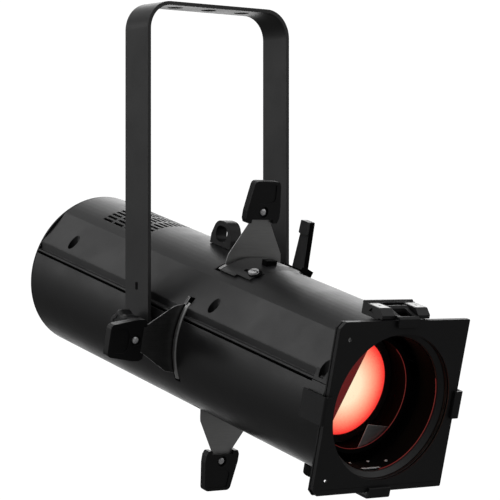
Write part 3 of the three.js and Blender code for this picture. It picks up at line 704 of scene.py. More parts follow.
def casing_shell(columns, stations, is_open):
    """A closed shell over a grid of columns and stations, without its open cells."""
    bm = bmesh.new()
    made = {}

    def corner(i, j, layer):
        if (i, j, layer) not in made:
            s = stations[j]
            skip = 3 if s < RECESS_END else 1
            x, v = columns[i][skip + layer]
            made[i, j, layer] = bm.verts.new((x, -s, v))
        return made[i, j, layer]

    across, along = range(len(columns) - 1), range(len(stations) - 1)
    solid = set()
    for i in across:
        for j in along:
            angle = (columns[i][0] + columns[i + 1][0]) / 2
            station = (stations[j] + stations[j + 1]) / 2
            if not is_open(angle, station):
                solid.add((i, j))
    for i, j in sorted(solid):
        quad = [(i, j), (i + 1, j), (i + 1, j + 1), (i, j + 1)]
        bm.faces.new([corner(*c, 0) for c in quad])
        bm.faces.new([corner(*c, 1) for c in reversed(quad)])
        sides = [((i, j - 1), 0, 1), ((i + 1, j), 1, 2), ((i, j + 1), 2, 3), ((i - 1, j), 3, 0)]
        for beside, a, b in sides:
            if beside not in solid:
                wall = [(quad[a], 0), (quad[a], 1), (quad[b], 1), (quad[b], 0)]
                bm.faces.new([corner(*c, layer) for c, layer in wall])
    bmesh.ops.recalc_face_normals(bm, faces=bm.faces)
    return bm


def casing_stations(*extra):
    stops = {SHELL[0], SHELL[1], *SHUTTER_SLOT, RECESS_END - 0.4, RECESS_END + 0.4, *extra}
    filled = sorted(stops)
    for a, b in zip(sorted(stops), sorted(stops)[1:]):
        count = int((b - a) // 24)
        filled += [a + (b - a) * k / (count + 1) for k in range(1, count + 1)]
    return sorted(filled)


def vent_station(column):
    start = VENT["from"] + column * VENT["pitch"]
    return start, start + VENT["length"]


def in_vent(angle, station):
    row = round(angle / VENT["step"])
    if abs(row) > VENT["rows"] or abs(angle - row * VENT["step"]) > VENT_HALF:
        return False
    return any(a < station < b for a, b in map(vent_station, range(VENT["columns"])))


def in_shutter_slot(angle, station):
    if not SHUTTER_SLOT[0] < station < SHUTTER_SLOT[1]:
        return False
    return any(abs((angle - middle + 180) % 360 - 180) < SLOT_SWEEP for middle in (0, 90, 180, 270))


def upright_rod(radius, low, high, x, s, count=48):
    return prism(circle(radius, count, x, s), low, high, along_up)


def bore_cup(side, station, x, floor, clear):
    """A sunk upright cup under the casing, with a screw hole in its floor."""
    radius, wall = BORE["radius"], BORE["wall"]
    reach = (station - 2 * radius, station + 2 * radius)
    edge = [polar(casing_radius(a) - 0.3, a) for a in range(-74, 75, 2)]
    cup = upright_rod(radius + wall, floor - wall, 60, side * x, station)
    cup = combined(cup, [prism([*edge, (0, 0)], *reach)], "INTERSECT")
    hollow = upright_rod(radius + 0.05, floor, 80, side * x, station)
    hollow = cut(hollow, prism(circle(clear + wall, 96), *reach))
    hole = upright_rod(BORE["shank"], floor - 4, floor + 1, side * x, station, 24)
    return cut(cup, prism(circle(clear, 96), *reach), hollow, hole)


def bore_screw(side, station, x, floor):
    """A cross-headed casing screw that sits on a cup's floor."""
    profile = [(0, floor - 3), (1.9, floor - 3), (1.9, floor + 0.1), (4.2, floor + 0.1)]
    profile += [(4.2, floor + 1.0), (3.4, floor + 2.0), (1.8, floor + 2.5), (0, floor + 2.6)]
    screw = turned(profile, 32, upwards)
    cross = [prism(rectangle(-2.4, 2.4, -0.45, 0.45), floor + 1.4, floor + 4, along_up)]
    cross.append(prism(rectangle(-0.45, 0.45, -2.4, 2.4), floor + 1.4, floor + 4, along_up))
    return shifted(rounded(cut(screw, *cross), 0.12, 1, 40), x=side * x, s=station)


def make_casing():
    vents = [s for k in range(VENT["columns"]) for s in vent_station(k)]
    upper = casing_shell(
        upper_profile(),
        casing_stations(*vents),
        lambda a, s: in_vent(a, s) or in_shutter_slot(a, s),
    )
    holes = []
    for side in (-1, 1):
        for _, station, x, floor, clear in BORES:
            rod = upright_rod(BORE["radius"], floor, 90, side * x, station)
            holes.append(cut(rod, prism(circle(clear + BORE["wall"], 96), station - 12, station + 12)))
    upper = rounded(cut(upper, *holes), 0.35, 2, 24.0, clamp=False)
    piece("fine_upper_shell", upper, "barrel", "powder_coat", ["upper_shell"], smooth=11)

    half = [SEAM + SEAM_GAP, *range(76, 175, 2), 180 - FOCUS_SLOT[2]]
    columns = []
    for angle in [*half, 180.0, *(360 - a for a in reversed(half))]:
        outer = polar(RADIUS, angle)
        inner = polar(RADIUS - WALL, angle)
        sunk = min(max(angle, SEAM_OPEN), 360 - SEAM_OPEN)
        columns.append((angle, outer, inner, polar(RADIUS, sunk), polar(RADIUS - WALL, sunk)))
    lower = casing_shell(
        columns,
        casing_stations(FOCUS_SLOT[0], FOCUS_SLOT[1]),
        lambda a, s: in_shutter_slot(a, s)
        or (FOCUS_SLOT[0] < s < FOCUS_SLOT[1] and abs(a - 180) < FOCUS_SLOT[2]),
    )
    lower = rounded(lower, 0.35, 2, 24.0, clamp=False)
    piece("fine_lower_shell", lower, "barrel", "powder_coat", ["lower_shell"], smooth=11)

    for side, side_word in SIDES:
        for word, station, x, floor, clear in BORES:
            cup = bore_cup(side, station, x, floor, clear)
            piece(f"screw_cup_{word}_{side_word}", cup, "barrel", "powder_coat")
            screw = bore_screw(side, station, x, floor)
            piece(f"casing_screw_{word}_{side_word}", screw, "barrel", "black_steel")


def make_slot_trims():
    """A half-round strip that closes the free part of each side slot."""
    turns = [math.pi * k / 8 for k in range(9)]
    for middle, word, rear, front in ((-90, "left", 54.9, 60.5), (90, "right", 52.0, 57.2)):
        centre, half = (rear + front) / 2, (front - rear) / 2
        section = [(-1.0, rear), (-1.0, front)]
        section += [(0.2 + 1.3 * math.sin(t), centre + half * math.cos(t)) for t in turns]
        rings = []
        for k in range(29):
            angle = middle - SLOT_SWEEP + 3.2 + 2 * k
            radius = casing_radius(angle)
            rings.append([forwards(*polar(radius + lift, angle), s) for lift, s in section])
        piece(f"slot_trim_{word}", skinned(rings), "barrel", "shutter_steel", smooth=50)


make_casing()
make_slot_trims()

# ---- rear cap ----

REAR_END = -220.0
REAR_FACE = -218.5
REAR_INSIDE = -215.5
CAP_RIM = 82.0
BUTTON = {"radius": 4.2, "v": 20.0}
BUTTON_X = (-22.5, -7.5, 7.5, 22.5)
DISPLAY = (26.0, 33.0, 53.0)
INLET = {"half": 15.0, "v": -18.0, "half_v": 11.0}
DATA = {"x": 27.0, "v": -50.0, "radius": 12.5}


def make_rear_cap():
    holes = [circle(BUTTON["radius"] + 0.4, 32, x, BUTTON["v"]) for x in BUTTON_X]
    holes.append(panel(-DISPLAY[0], DISPLAY[0], *DISPLAY[1:], 1.2, 3))
    low, high = INLET["v"] - INLET["half_v"], INLET["v"] + INLET["half_v"]
    holes.append(rectangle(-INLET["half"], INLET["half"], low, high))
    holes += [circle(DATA["radius"], 48, side * DATA["x"], DATA["v"]) for side in (-1, 1)]
    for side in (-1, 1):
        for k in range(9):
            middle = side * (52 + 9.5 * k)
            arc = [polar(r, middle + e) for r, e in ((62, -2.2), (75, -1.9), (75, 1.9), (62, 2.2))]
            holes.append(soften(arc, 2.2, 3))
    face = prism([circle(CAP_RIM + 0.5, 128), *holes], REAR_FACE, REAR_INSIDE)
    piece("rear_face", rounded(face, 0.4, 2), "barrel", "powder_coat", ["rear_panel"])
    inside = CAP_RIM - 0.2
    rim = [(inside, REAR_END), (84.6, REAR_END), (85.9, -218.9), (85.9, -216.8), (inside, -216.8)]
    rim = soften(rim, [0.2, 0.5, 0.5, 0.1, 0.1], 3)
    piece("rear_rim", turned(rim, 144), "barrel", "black_steel", smooth=30)
    bolts = [polar(78.4, a) for a in (30, 150, 210, 330)]
    head = [(0, -220.3), (2.6, -220.3), (3.3, -219.6), (3.3, REAR_FACE), (1.5, REAR_FACE)]
    for k, (x, v) in enumerate(bolts):
        bolt = turned([*head, (1.5, -216), (0, -216)], 32)
        socket = prism(circle(1.5, 6), -223, -219.0)
        bolt = rounded(cut(bolt, socket), 0.1, 1, 40)
        piece(f"rear_bolt_{k + 1}", shifted(bolt, x=x, v=v), "barrel", "bare_steel")


make_rear_cap()

# ---- yoke, knob and lever, in level millimetres about the pivot ----

YOKE_HALF = 95.0
YOKE_BEND = 30.0
YOKE_TOP = 337.3
STRAP = 4.0
STRAP_HALF = 20.0
STUD_BORE = 6.4
HANG_HOLES = (8.2, 44.6)


def strap_run(inset):
    """From the left leg's foot over the crossbar to the right leg's foot."""
    half, bend, top = YOKE_HALF - inset, YOKE_BEND - inset, YOKE_TOP - inset
    left = [(-half, -22.0)]
    for k in range(17):
        t = math.radians(90 * k / 16)
        left.append((-half + bend * (1 - math.cos(t)), top - bend * (1 - math.sin(t))))
    return left + [(-x, z) for x, z in reversed(left)]


def make_yoke():
    strap = prism(strap_run(0) + strap_run(STRAP)[::-1], -STRAP_HALF, STRAP_HALF)
    foot = [polar(STRAP_HALF, 90 + 7.5 * k) for k in range(25)]
    face = prism([*foot, (-STRAP_HALF, 340), (STRAP_HALF, 340)], -97, 97, along_across)
    strap = combined(strap, [face], "INTERSECT")
    radius, pitch = HANG_HOLES
    tools = [upright_rod(radius, 330, 340, k * pitch, 0) for k in (-1, 0, 1)]
    tools.append(prism(circle(STUD_BORE, 48), -100, 100, along_across))
    slot = panel(-2.25, 2.25, 36, 44, 0.7, 3)
    tools.append(prism(slot, -97, -89, along_across))
    strap = rounded(flattened(cut(strap, *tools)), 0.55, 2)
    # The yoke wears the lighter coat, as painted light.
    piece("fine_yoke", strap, "yoke", "powder_coat", ["yoke_strap"], LEVEL, 35, "painted_light_coat")


def make_washers():
    for side, word in SIDES:
        profile = [(STUD_BORE, 86.5), (17, 86.5), (17, 90.6), (STUD_BORE, 90.6)]
        ring = turned([(r, side * x) for r, x in soften(profile, 0.7, 3)], 64, across)
        name = f"fine_washer_{word}"
        piece(name, ring, "yoke", "black_plastic", [f"friction_washer_{word}"], place=LEVEL)


def make_knob():
    lobes = []
    for k in range(96):
        t = 2 * math.pi * k / 96
        radius = 16 - 1.5 * (1 + math.cos(6 * t))
        lobes.append((radius * math.cos(t), radius * math.sin(t)))
    levels = [(0.55, -103.0), (0.86, -103.2), (0.95, -104.0), (1.0, -106.0), (1.0, -114.5)]
    levels += [(0.975, -117.0), (0.90, -118.7), (0.80, -119.2), (0.62, -119.2)]
    levels += [(0.58, -118.4), (0.2, -118.4)]
    grip = lofted(lobes, levels, along_across)
    neck = turned([(0, -95.4), (8.4, -95.4), (9, -96), (9, -102), (8, -104), (0, -104)], 48, across)
    knob = cut(join(grip, neck), prism(circle(STUD_BORE, 32), -114.3, -90, along_across))
    piece("fine_knob", knob, "tilt_knob", "black_plastic", ["tilt_knob"], place=LEVEL, smooth=32)


LEVER_LEAN = 15.5
# The lever's rear and front outlines, as (distance along it, distance beside its middle).
LEVER_REAR = [(0, -14.5), (22, -16.0), (40, -13.4), (66, -11.4), (96, -8.6), (112.6, -7.6)]
LEVER_FRONT = [(112.6, 5.0), (66, 7.0), (40, 8.6), (22, 13.0), (0, 14.5)]
LEVER_X = (112.4, 119.1)


def lever_point(along, beside):
    turn = math.radians(LEVER_LEAN)
    return (
        along * math.sin(turn) + beside * math.cos(turn),
        along * math.cos(turn) - beside * math.sin(turn),
    )


def lever_prism(points, radius, x0, x1):
    outline = [lever_point(*p) for p in points]
    return prism(soften(outline, radius, 4), x0, x1, along_across)


def make_lever():
    # A thin strip of painted shade along the lever's front edge.
    strip = [*LEVER_FRONT[:4], *[(a, b + 0.8) for a, b in LEVER_FRONT[3::-1]]]
    edge = rounded(lever_prism(strip, 0.1, 112.9, 118.6), 0.15, 1)
    piece("lever_shade_strip", edge, "tilt_lever", "black_plastic", place=LEVEL, coat="painted_shade_black")
    body = lever_prism([*LEVER_REAR, *LEVER_FRONT], 2.0, *LEVER_X)
    pad = lever_prism([(98, -9.4), (112.8, -8.6), (112.8, 5.0), (98, 5.2)], 1.6, 110.6, LEVER_X[1])
    hub = turned([(0, 95.5), (14, 95.5), (15, 96.4), (15, 118), (13.8, 119.2), (0, 119.2)], 64, across)
    whole = join(body, pad, hub)
    bore = prism(circle(STUD_BORE, 32), 90, 114.3, along_across)
    dish = prism(circle(9.5, 48), 118.2, 121, along_across)
    whole = rounded(flattened(cut(whole, bore, dish)), 0.7, 2, 40)
    # The lever body wears the lighter plastic coat, as painted light.
    piece("fine_lever", whole, "tilt_lever", "black_plastic", ["tilt_lever"], LEVEL, 32, "painted_light_plastic")
    bolt = turned([(0, 112), (5.6, 112), (5.6, 118.6), (5, 119.1), (0, 119.1)], 6, across)
    piece("lever_bolt", rounded(bolt, 0.3, 1), "tilt_lever", "bare_steel", place=LEVEL)


make_yoke()
make_washers()
make_knob()
make_lever()

# ---- curved plates on the casing ----


def arc_plate(span, stations, low, high, steps=32):
    """A curved plate; low is its (rear, front) inner radii and high gives the outer ones."""
    rings = []
    rear, front = stations
    for k in range(steps + 1):
        angle = span[0] + (span[1] - span[0]) * k / steps
        top = high(angle)
        section = [(low[0], rear), (top[0], rear), (top[1], front), (low[1], front)]
        rings.append([forwards(*polar(radius, angle), s) for radius, s in section])
    return skinned(rings)


def thin_arc(span, stations, inner, outer, steps=32):
    """A curved plate of even thickness."""
    return arc_plate(span, stations, (inner, inner), lambda angle: (outer, outer), steps)


# Radii of the plates of painted shade behind the vents and the seams.
VENT_SHADE = (80.2, 81.2)
SEAM_SHADE = (79.6, 80.6)


def make_shade_plates():
    """Plates of painted shade inside the casing, behind the vents and the seams."""
    plate = thin_arc((-33, 33), (-161, -76), *VENT_SHADE)
    piece("vent_shade_plate", plate, "barrel", "black_steel", coat="painted_shade_black")
    for side, word in SIDES:
        span = sorted((side * 71.5, side * 81.0))
        for end, stations in (("rear", (-206, 49)), ("front", (64, 270))):
            strip = thin_arc(span, stations, *SEAM_SHADE, 8)
            piece(f"seam_shade_strip_{end}_{word}", strip, "barrel", "black_steel", coat="painted_shade_black")


make_shade_plates()

# ---- shutters, made for the top one and turned about the beam ----

SHUTTERS = {"left": (-90, 0, 1), "bottom": (180, 1, 0), "top": (0, 2, -1), "right": (90, 3, 0)}
SHUTTER_FIRST = 53.3
SHUTTER_PITCH = 1.8
BLADE_HALF = 0.4
HANDLE_HALF = 4.0
SHUTTER_SCREW_AT = 136.0


def blade_shape():
    outline = mirrored([(37, 38.2), (37, 78), (35.6, 87), (34.6, 91), (13.5, 125), (12.2, 148)])
    blade = prism(outline, -BLADE_HALF, BLADE_HALF)
    return rounded(blade, 0.28, 2)


def guide_shape(side):
    """A small curved tab on the casing, beside a blade."""
    span = sorted((side * 25.0, side * 30.8))
    tab = thin_arc(span, (0.7, 4.4), 86.7, 88.3)
    return rounded(tab, 0.3, 2, 45)


def handle_shape():
    half = [(13.9, 128.2), (13.9, 124.3), (19.6, 124.3), (21.8, 128.6), (21.8, 137), (16.6, 168.8)]
    corners = [0.3, 0.8, 1.6, 2.2, 5.0, 5.5]
    body = prism(soften(mirrored(half), corners + corners[::-1], 5), -HANDLE_HALF, HANDLE_HALF)
    dish = [(-12.5, 148), (-8, 145.5), (0, 144.6), (8, 145.5), (12.5, 148), (13.2, 152), (12, 165.4)]
    dish = soften([*dish, (-12, 165.4), (-13.2, 152)], 2.2, 4)
    bore = circle(6.0, 40, 0, SHUTTER_SCREW_AT)
    tools = [
        prism(dish, HANDLE_HALF - 0.8, 6),
        prism(dish, -6, 0.8 - HANDLE_HALF),
        prism(bore, HANDLE_HALF - 2.4, 6),
        prism(circle(4.4, 6, 0, SHUTTER_SCREW_AT), -6, 1.6 - HANDLE_HALF),
    ]
    return rounded(flattened(cut(body, *tools)), 0.75, 3, 45)


def slotted_screw(radius, seat, top, slot, turn):
    """A domed slotted head on the beam axis."""
    profile = [(0, seat), (radius, seat), (radius, top - 0.9), (radius * 0.86, top - 0.3)]
    head = turned([*profile, (radius * 0.5, top), (0, top)], 40)
    groove = prism(rectangle(-radius - 1, radius + 1, -slot / 2, slot / 2), top - 0.9, top + 2)
    return turned_by(rounded(cut(head, groove), 0.12, 1, 40), turn)


def make_shutters():
    for word, (angle, plane, side) in SHUTTERS.items():
        station = SHUTTER_FIRST + SHUTTER_PITCH * plane
        body = f"shutter_{word}"
        at = {"s": station}
        blade = turned_by(shifted(blade_shape(), **at), angle)
        # The left blade and its guide wear the darker copy of the steel, as painted shade.
        shade = "shaded_steel" if word == "left" else "shutter_steel"
        node = f"shutter_blade_{word}"
        piece(f"fine_blade_{word}", blade, body, "shutter_steel", [node], coat=shade)
        if side:
            guide = turned_by(shifted(guide_shape(side), **at), angle)
            piece(f"blade_guide_{word}", guide, "barrel", "shutter_steel", coat=shade)
        handle = turned_by(shifted(handle_shape(), **at), angle)
        piece(f"fine_handle_{word}", handle, body, "black_plastic", [f"shutter_handle_{word}"])
        screw = shifted(slotted_screw(3.5, 1.7, 4.0, 0.9, 25), v=SHUTTER_SCREW_AT, **at)
        nut = prism(circle(4.0, 6, 0, SHUTTER_SCREW_AT), -3.6, -2.6)
        screw = turned_by(together(screw, shifted(rounded(nut, 0.2, 1), **at)), angle)
        piece(f"fine_screw_{word}", screw, body, "bare_steel", [f"shutter_screw_{word}"])


make_shutters()

# ---- fittings on top of the casing ----

COVER_FACE = RADIUS + 2.05
COVER_SWEEPS = (31.5, 29.2)
CATCH_ANGLE = 24.0
COVER_SCREW = {"s": 100.8, "angle": -22.2, "radius": 5.4, "turn": -76.0}


def make_cover():
    low = RADIUS + 0.55

    def blended(angle):
        """Flush with the casing in front, but for the corner beside the screw."""
        rise = min(max((-15.0 - angle) / 6.0, 0.0), 1.0)
        return COVER_FACE, RADIUS - 0.25 + (COVER_FACE - RADIUS + 0.25) * rise

    wide, narrow = [(-a, a) for a in COVER_SWEEPS]
    rear = thin_arc(wide, (61.2, 86), low, COVER_FACE)
    middle = thin_arc(narrow, (85, 97), low, COVER_FACE)
    front = arc_plate(narrow, (96.5, 107.5), (low, RADIUS - 0.6), blended, 48)
    plate = join(rear, middle, front)
    at, angle, radius = COVER_SCREW["s"], COVER_SCREW["angle"], COVER_SCREW["radius"]
    slot = prism(slot_outline(-2.6, 2.6, at - 15, at + 1), 80, 95, along_up)
    plate = cut(plate, turned_by(slot, angle))
    plate = rounded(plate, 0.25, 2, 40)
    piece("fine_cover", plate, "barrel", "powder_coat", ["slot_cover"], smooth=20)

    low = COVER_FACE + 0.6
    rim = [(0, low), (radius, low), (radius, low + 2.3), (radius - 0.8, low + 3.0), (0, low + 3.1)]
    head = turned(rim, 48, upwards)
    slot = prism(rectangle(-8, 8, -0.9, 0.9), low + 0.6, low + 6, along_up)
    # A block that fills the head's slot with painted shade.
    slot_shade = prism(rectangle(0.6 - radius, radius - 0.6, -0.86, 0.86), low + 0.5, low + 2.0, along_up)
    turn = Matrix.Rotation(math.radians(COVER_SCREW["turn"]), 3, "Z")
    for part in (slot, slot_shade):
        bmesh.ops.rotate(part, matrix=turn, verts=part.verts)
    shank = upright_rod(2.0, 82, low - 0.1, 0, 0, 24)
    screw = together(rounded(cut(head, slot), 0.15, 1, 40), shank)
    screw = turned_by(shifted(screw, s=at), angle)
    piece("fine_cover_screw", screw, "barrel", "bare_steel", ["slot_cover_screw"])
    # The slot filling, the shadow under the screw, the catch and the stop wear the dead black coat of
    # painted shade.
    shade = "painted_shade_black"
    slot_shade = turned_by(shifted(slot_shade, s=at), angle)
    piece("cover_slot_shade", slot_shade, "barrel", "black_steel", coat=shade)
    # A dark disc just under the screw head, set off to one side, as a painted shadow.
    seat = cut(upright_rod(7.2, low - 1.6, low - 0.25, 0.8, at + 1.6), upright_rod(2.4, 80, 95, 0, at))
    piece("cover_screw_shadow", turned_by(seat, angle), "barrel", "black_steel", coat=shade)

    # The catch and the stop are darkened with the painted shade coat to take away their highlight.
    low = COVER_FACE - 2.0
    catch = prism(panel(-4.0, 4.0, 95.5, 106.5, 1.0, 3), low, COVER_FACE + 5.2, along_up)
    arm = prism(panel(-2.4, 2.4, 62.5, 99.0, 0.8, 3), low + 1.0, COVER_FACE + 2.4, along_up)
    catch = turned_by(rounded(join(catch, arm), 0.5, 2, 45), CATCH_ANGLE)
    piece("fine_catch", catch, "barrel", "black_plastic", ["slot_cover_catch"], coat=shade)
    stop = prism(panel(-13.5, 0.5, 86.5, 95.0, 0.8, 3), low, COVER_FACE + 4.8, along_up)
    piece("cover_stop", rounded(stop, 0.5, 2, 45), "barrel", "black_plastic", coat=shade)


EYE = {"from": -10.5, "to": 24.0, "half": 7.4, "low": 86.3, "top": 113.2, "hole": 9.6}


def make_eye():
    middle = (EYE["from"] + EYE["to"]) / 2
    outline = [
        (EYE["from"], EYE["low"]),
        (EYE["to"], EYE["low"]),
        (EYE["to"], 96.0),
        (EYE["to"] - 7.4, EYE["top"]),
        (EYE["from"] + 6.4, EYE["top"]),
        (EYE["from"], 96.0),
    ]
    body = prism(soften(outline, [0.5, 0.5, 6, 13, 13, 6], 8), -EYE["half"], EYE["half"], along_across)
    window = rectangle(middle - EYE["hole"], middle + EYE["hole"], 91.0, 107.8)
    hole = prism(soften(window, 7.7, 8), -20, 20, along_across)
    body = rounded(cut(body, hole), 1.1, 3, 40)
    piece("fine_eye", body, "barrel", "black_steel", ["safety_eye"], smooth=32)


make_cover()
make_eye()

# ---- front: hood, lens cell, lit lens, frames and clips ----

LENS_CELL = {"rear": 196.0, "front": 256.0, "radius": 62.0}
LIT_DISC = {"station": 230.4, "radius": 50.0}
# The edge of a painted shadow across the lit disc, as two (x, v) points.
LIT_SHADOW_EDGE = ((18.1, 31.8), (-9.7, -35.1))


def set_glow(bm, value):
    layer = bm.verts.layers.float.new(GLOW)
    for vertex in bm.verts:
        vertex[layer] = value
    return bm


def make_hood():
    outer = [(68.5, 262), (76, 262), (76, 290.9), (80.5, 290.9), (80.5, 292.6), (75.4, 292.6)]
    ring = [(75.2, 290.2), (74.5, 290.2), (74.3, 292.6), (73.7, 292.7), (69.0, 288.9), (68.5, 287.6)]
    hood = turned(outer + ring, 128)
    # The hood wears the lighter coat, as painted light.
    piece("fine_hood", hood, "barrel", "black_steel", ["front_hood"], smooth=26, coat="painted_light_coat")
    # A thin tube of painted shade along the inside of the hood.
    tube = turned([(67.9, 262.2), (68.4, 262.2), (68.4, 286.6), (67.9, 286.6)], 96)
    piece("hood_shade_tube", tube, "barrel", "black_steel", coat="painted_shade_black")
    # A glowing strip inside the hood, as a painted reflection of the lit lens.
    glint = thin_arc((70, 172), (286.8, 287.4), 67.9, 68.4, 48)
    piece("hood_glint", set_glow(glint, 1.0), "barrel", "black_steel", coat="lit_lens")
    bar = prism(panel(-10.5, 14.5, -67.6, -66.6, 0.3, 2), 282.6, 284.8)
    piece("hood_bar", rounded(bar, 0.15, 1), "barrel", "bare_steel")
    for k, (x, s, v) in enumerate(((-11.5, 267, -67.2), (12.3, 266.5, -67.0), (25.6, 278, -63.2))):
        screw = turned([(0, -0.8), (1.7, -0.8), (1.7, 0.4), (1.1, 0.9), (0, 1.0)], 24, upwards)
        screw = turned_by(screw, -math.degrees(math.atan2(x, -v)))
        piece(f"hood_screw_{k + 1}", shifted(screw, x=x, s=s, v=v), "barrel", "bare_steel")


def make_lenses():
    rear, front, radius = LENS_CELL["rear"], LENS_CELL["front"], LENS_CELL["radius"]
    cell = turned(
        [
            (radius - 2, rear),
            (radius - 0.4, rear),
            (radius, rear + 0.4),
            (radius, front - 1.2),
            (radius - 0.8, front),
            (57.6, front),
            (57.0, front - 0.5),
            (57.0, front - 1.6),
            (radius - 2, front - 2.6),
        ],
        128,
    )
    # The lens cell wears the dead black coat of painted shade.
    piece("fine_lens_cell", cell, "focus_carriage", "black_steel", ["lens_cell"], BARREL, 34, "painted_shade_black")
    # A glowing ring at the cell's inner lip, as a painted glint of the lit lens.
    glint = thin_arc((38, 205), (254.9, 255.4), 56.5, 56.9, 64)
    piece("cell_glint", set_glow(glint, 1.0), "focus_carriage", "black_steel", coat="lit_lens")
    front_face = [(59.6 * k / 12, 240 + 14 * (1 - (k / 12) ** 2)) for k in range(12, -1, -1)]
    rear_face = [(59.6 * k / 12, 237 - 6 * (1 - (k / 12) ** 2)) for k in range(13)]
    lens = turned(front_face + rear_face, 96)
    piece("fine_front_lens", lens, "focus_carriage", "lens_glass", ["front_lens"], smooth=60)
    # A bright steel plate low in the lens cell, which stands in for a reflection in the lens (painted
    # reflection).
    tab = [(17, -33.3), (46.2, -36.7)] + [polar(58.8, a) for a in (129, 138, 147, 156, 165, 172)]
    tab = rounded(prism(tab, 252.2, 252.9), 0.2, 1)
    piece("lens_reflection_plate", tab, "focus_carriage", "shutter_steel")


def lit_disc(kept, level):
    """The part of the disc on one side of the painted shadow's edge, in rings, with its glow values.
    """
    station, radius = LIT_DISC["station"], LIT_DISC["radius"]
    (x0, v0), (x1, v1) = LIT_SHADOW_EDGE
    normal = Vector((v0 - v1, x1 - x0)).normalized() * kept
    base = Vector((x0, v0))
    rings = []
    bm = bmesh.new()
    count, steps = 96, 28
    for j in range(steps + 1):
        ring = []
        for k in range(count):
            x, v = polar(radius * j / steps, 360 * k / count)
            ring.append(bm.verts.new((x, -station, v)))
            if j == 0:
                ring = ring * count
                break
        rings.append(ring)
    for near, far in zip(rings, rings[1:]):
        for k in range(count):
            corners = [near[k], near[(k + 1) % count], far[(k + 1) % count], far[k]]
            bm.faces.new(list(dict.fromkeys(corners)))
    bmesh.ops.bisect_plane(
        bm,
        geom=[*bm.verts, *bm.edges, *bm.faces],
        plane_co=Vector((base.x, 0, base.y)),
        plane_no=Vector((normal.x, 0, normal.y)),
        clear_inner=True,
    )
    made = bmesh.ops.extrude_face_region(bm, geom=bm.faces[:])
    moved = [item for item in made["geom"] if isinstance(item, bmesh.types.BMVert)]
    bmesh.ops.translate(bm, vec=Vector((0, 0.7, 0)), verts=moved)
    bmesh.ops.recalc_face_normals(bm, faces=bm.faces)
    layer = bm.verts.layers.float.new(GLOW)
    for vertex in bm.verts:
        reach = math.hypot(vertex.co.x, vertex.co.z) / radius
        vertex[layer] = 0.9 * reach if level is None else level
    return bm


def make_light():
    rear, front = LIT_DISC["station"] - 2.6, LIT_DISC["station"] - 1.0
    back = turned([(0, rear), (59.0, rear), (59.0, front), (0, front)], 96)
    piece("lens_baffle", back, "focus_carriage", "black_steel", coat="painted_light_coat")
    piece("lens_light", lit_disc(1, None), "focus_carriage", "lens_glass", coat="lit_lens")
    # The disc's other side is a painted shadow: a dark red at the rim's glow level.
    piece("lens_light_shadow", lit_disc(-1, 1.0), "focus_carriage", "lens_glass", coat="lit_lens")


HOLDER = {"rear": 293.4, "front": 295.2, "half": 84.5, "low": -86.0, "high": 87.0}
FRAME = {"rear": 295.7, "front": 299.9, "half": 84.0, "low": -85.5, "high": 87.5}
OPENING = 74.0
CORNER = (69.5, 70.0)


def corner_circles(radius):
    return [circle(radius, 24, -CORNER[0], j * CORNER[1]) for j in (-1, 1)]


def frame_outline(half, low, high, left, right):
    return [
        (-half + left, low),
        (half - right, low),
        (half, low + right),
        (half, high - right),
        (half - right, high),
        (-half + left, high),
        (-half, high - left),
        (-half, low + left),
    ]


def make_frames():
    low, high, half = HOLDER["low"], HOLDER["high"], HOLDER["half"]
    outline = soften(frame_outline(half, low, high, 5.5, 2.0), 0.8, 2)
    opening = circle(OPENING, 128)
    plate = prism([outline, opening, *corner_circles(6.4)], HOLDER["rear"], HOLDER["front"])
    piece("fine_holder", rounded(plate, 0.3, 2), "barrel", "black_steel", ["frame_holder"])

    low, high, half = FRAME["low"], FRAME["high"], FRAME["half"]
    edge = frame_outline(half, low, high, 6.5, 0.9)
    inner = frame_outline(half - 1.4, low + 1.4, high - 1.4, 6.2, 0.8)
    rear, front = FRAME["rear"], FRAME["front"]
    face = prism([edge, opening, *corner_circles(2.1)], front - 1.1, front)
    fold = cut(prism(edge, rear, front - 0.5), prism(inner, rear - 1, front))
    crease = prism(rectangle(-75, 76, low + 5.2, low + 5.8), front - 0.35, front + 1)
    plate = cut(join(face, fold), crease)
    backing = prism([inner, opening, *corner_circles(5.5)], rear, rear + 0.9)
    plate = together(rounded(plate, 0.3, 2, 45), rounded(backing, 0.2, 1))
    piece("fine_gel_frame", plate, "barrel", "black_steel", ["gel_frame"])


CLIP = {"rear": 268.0, "lip_rear": 300.4, "front": 303.4, "half": 14.0, "wall": 2.6, "lip": 11.0}


def clip_shape(wall_at):
    """A folded strap along the casing with a lip over the frame, made for the top."""
    high = wall_at + CLIP["wall"]
    section = [
        (CLIP["rear"], wall_at),
        (CLIP["lip_rear"], wall_at),
        (CLIP["lip_rear"], high - CLIP["lip"]),
        (CLIP["front"], high - CLIP["lip"]),
        (CLIP["front"], high),
        (CLIP["rear"], high),
    ]
    section = soften(section, [0.3, 0.6, 0.3, 0.9, 3.0, 0.9], 4)
    strap = prism(section, -CLIP["half"], CLIP["half"], along_across)
    return rounded(strap, 0.5, 2, 45)


def make_clips():
    for word, angle, wall_at in (("left", -90, 87.2), ("right", 90, 87.2), ("bottom", 180, 89.2)):
        strap = turned_by(clip_shape(wall_at), angle)
        piece(f"fine_clip_{word}", strap, "barrel", "black_steel", [f"clip_{word}"])


make_hood()
make_lenses()
make_light()
make_frames()
make_clips()

# ---- latch ----

LATCH_PIN = (280.0, 94.2)
LATCH_HALF = 31.0


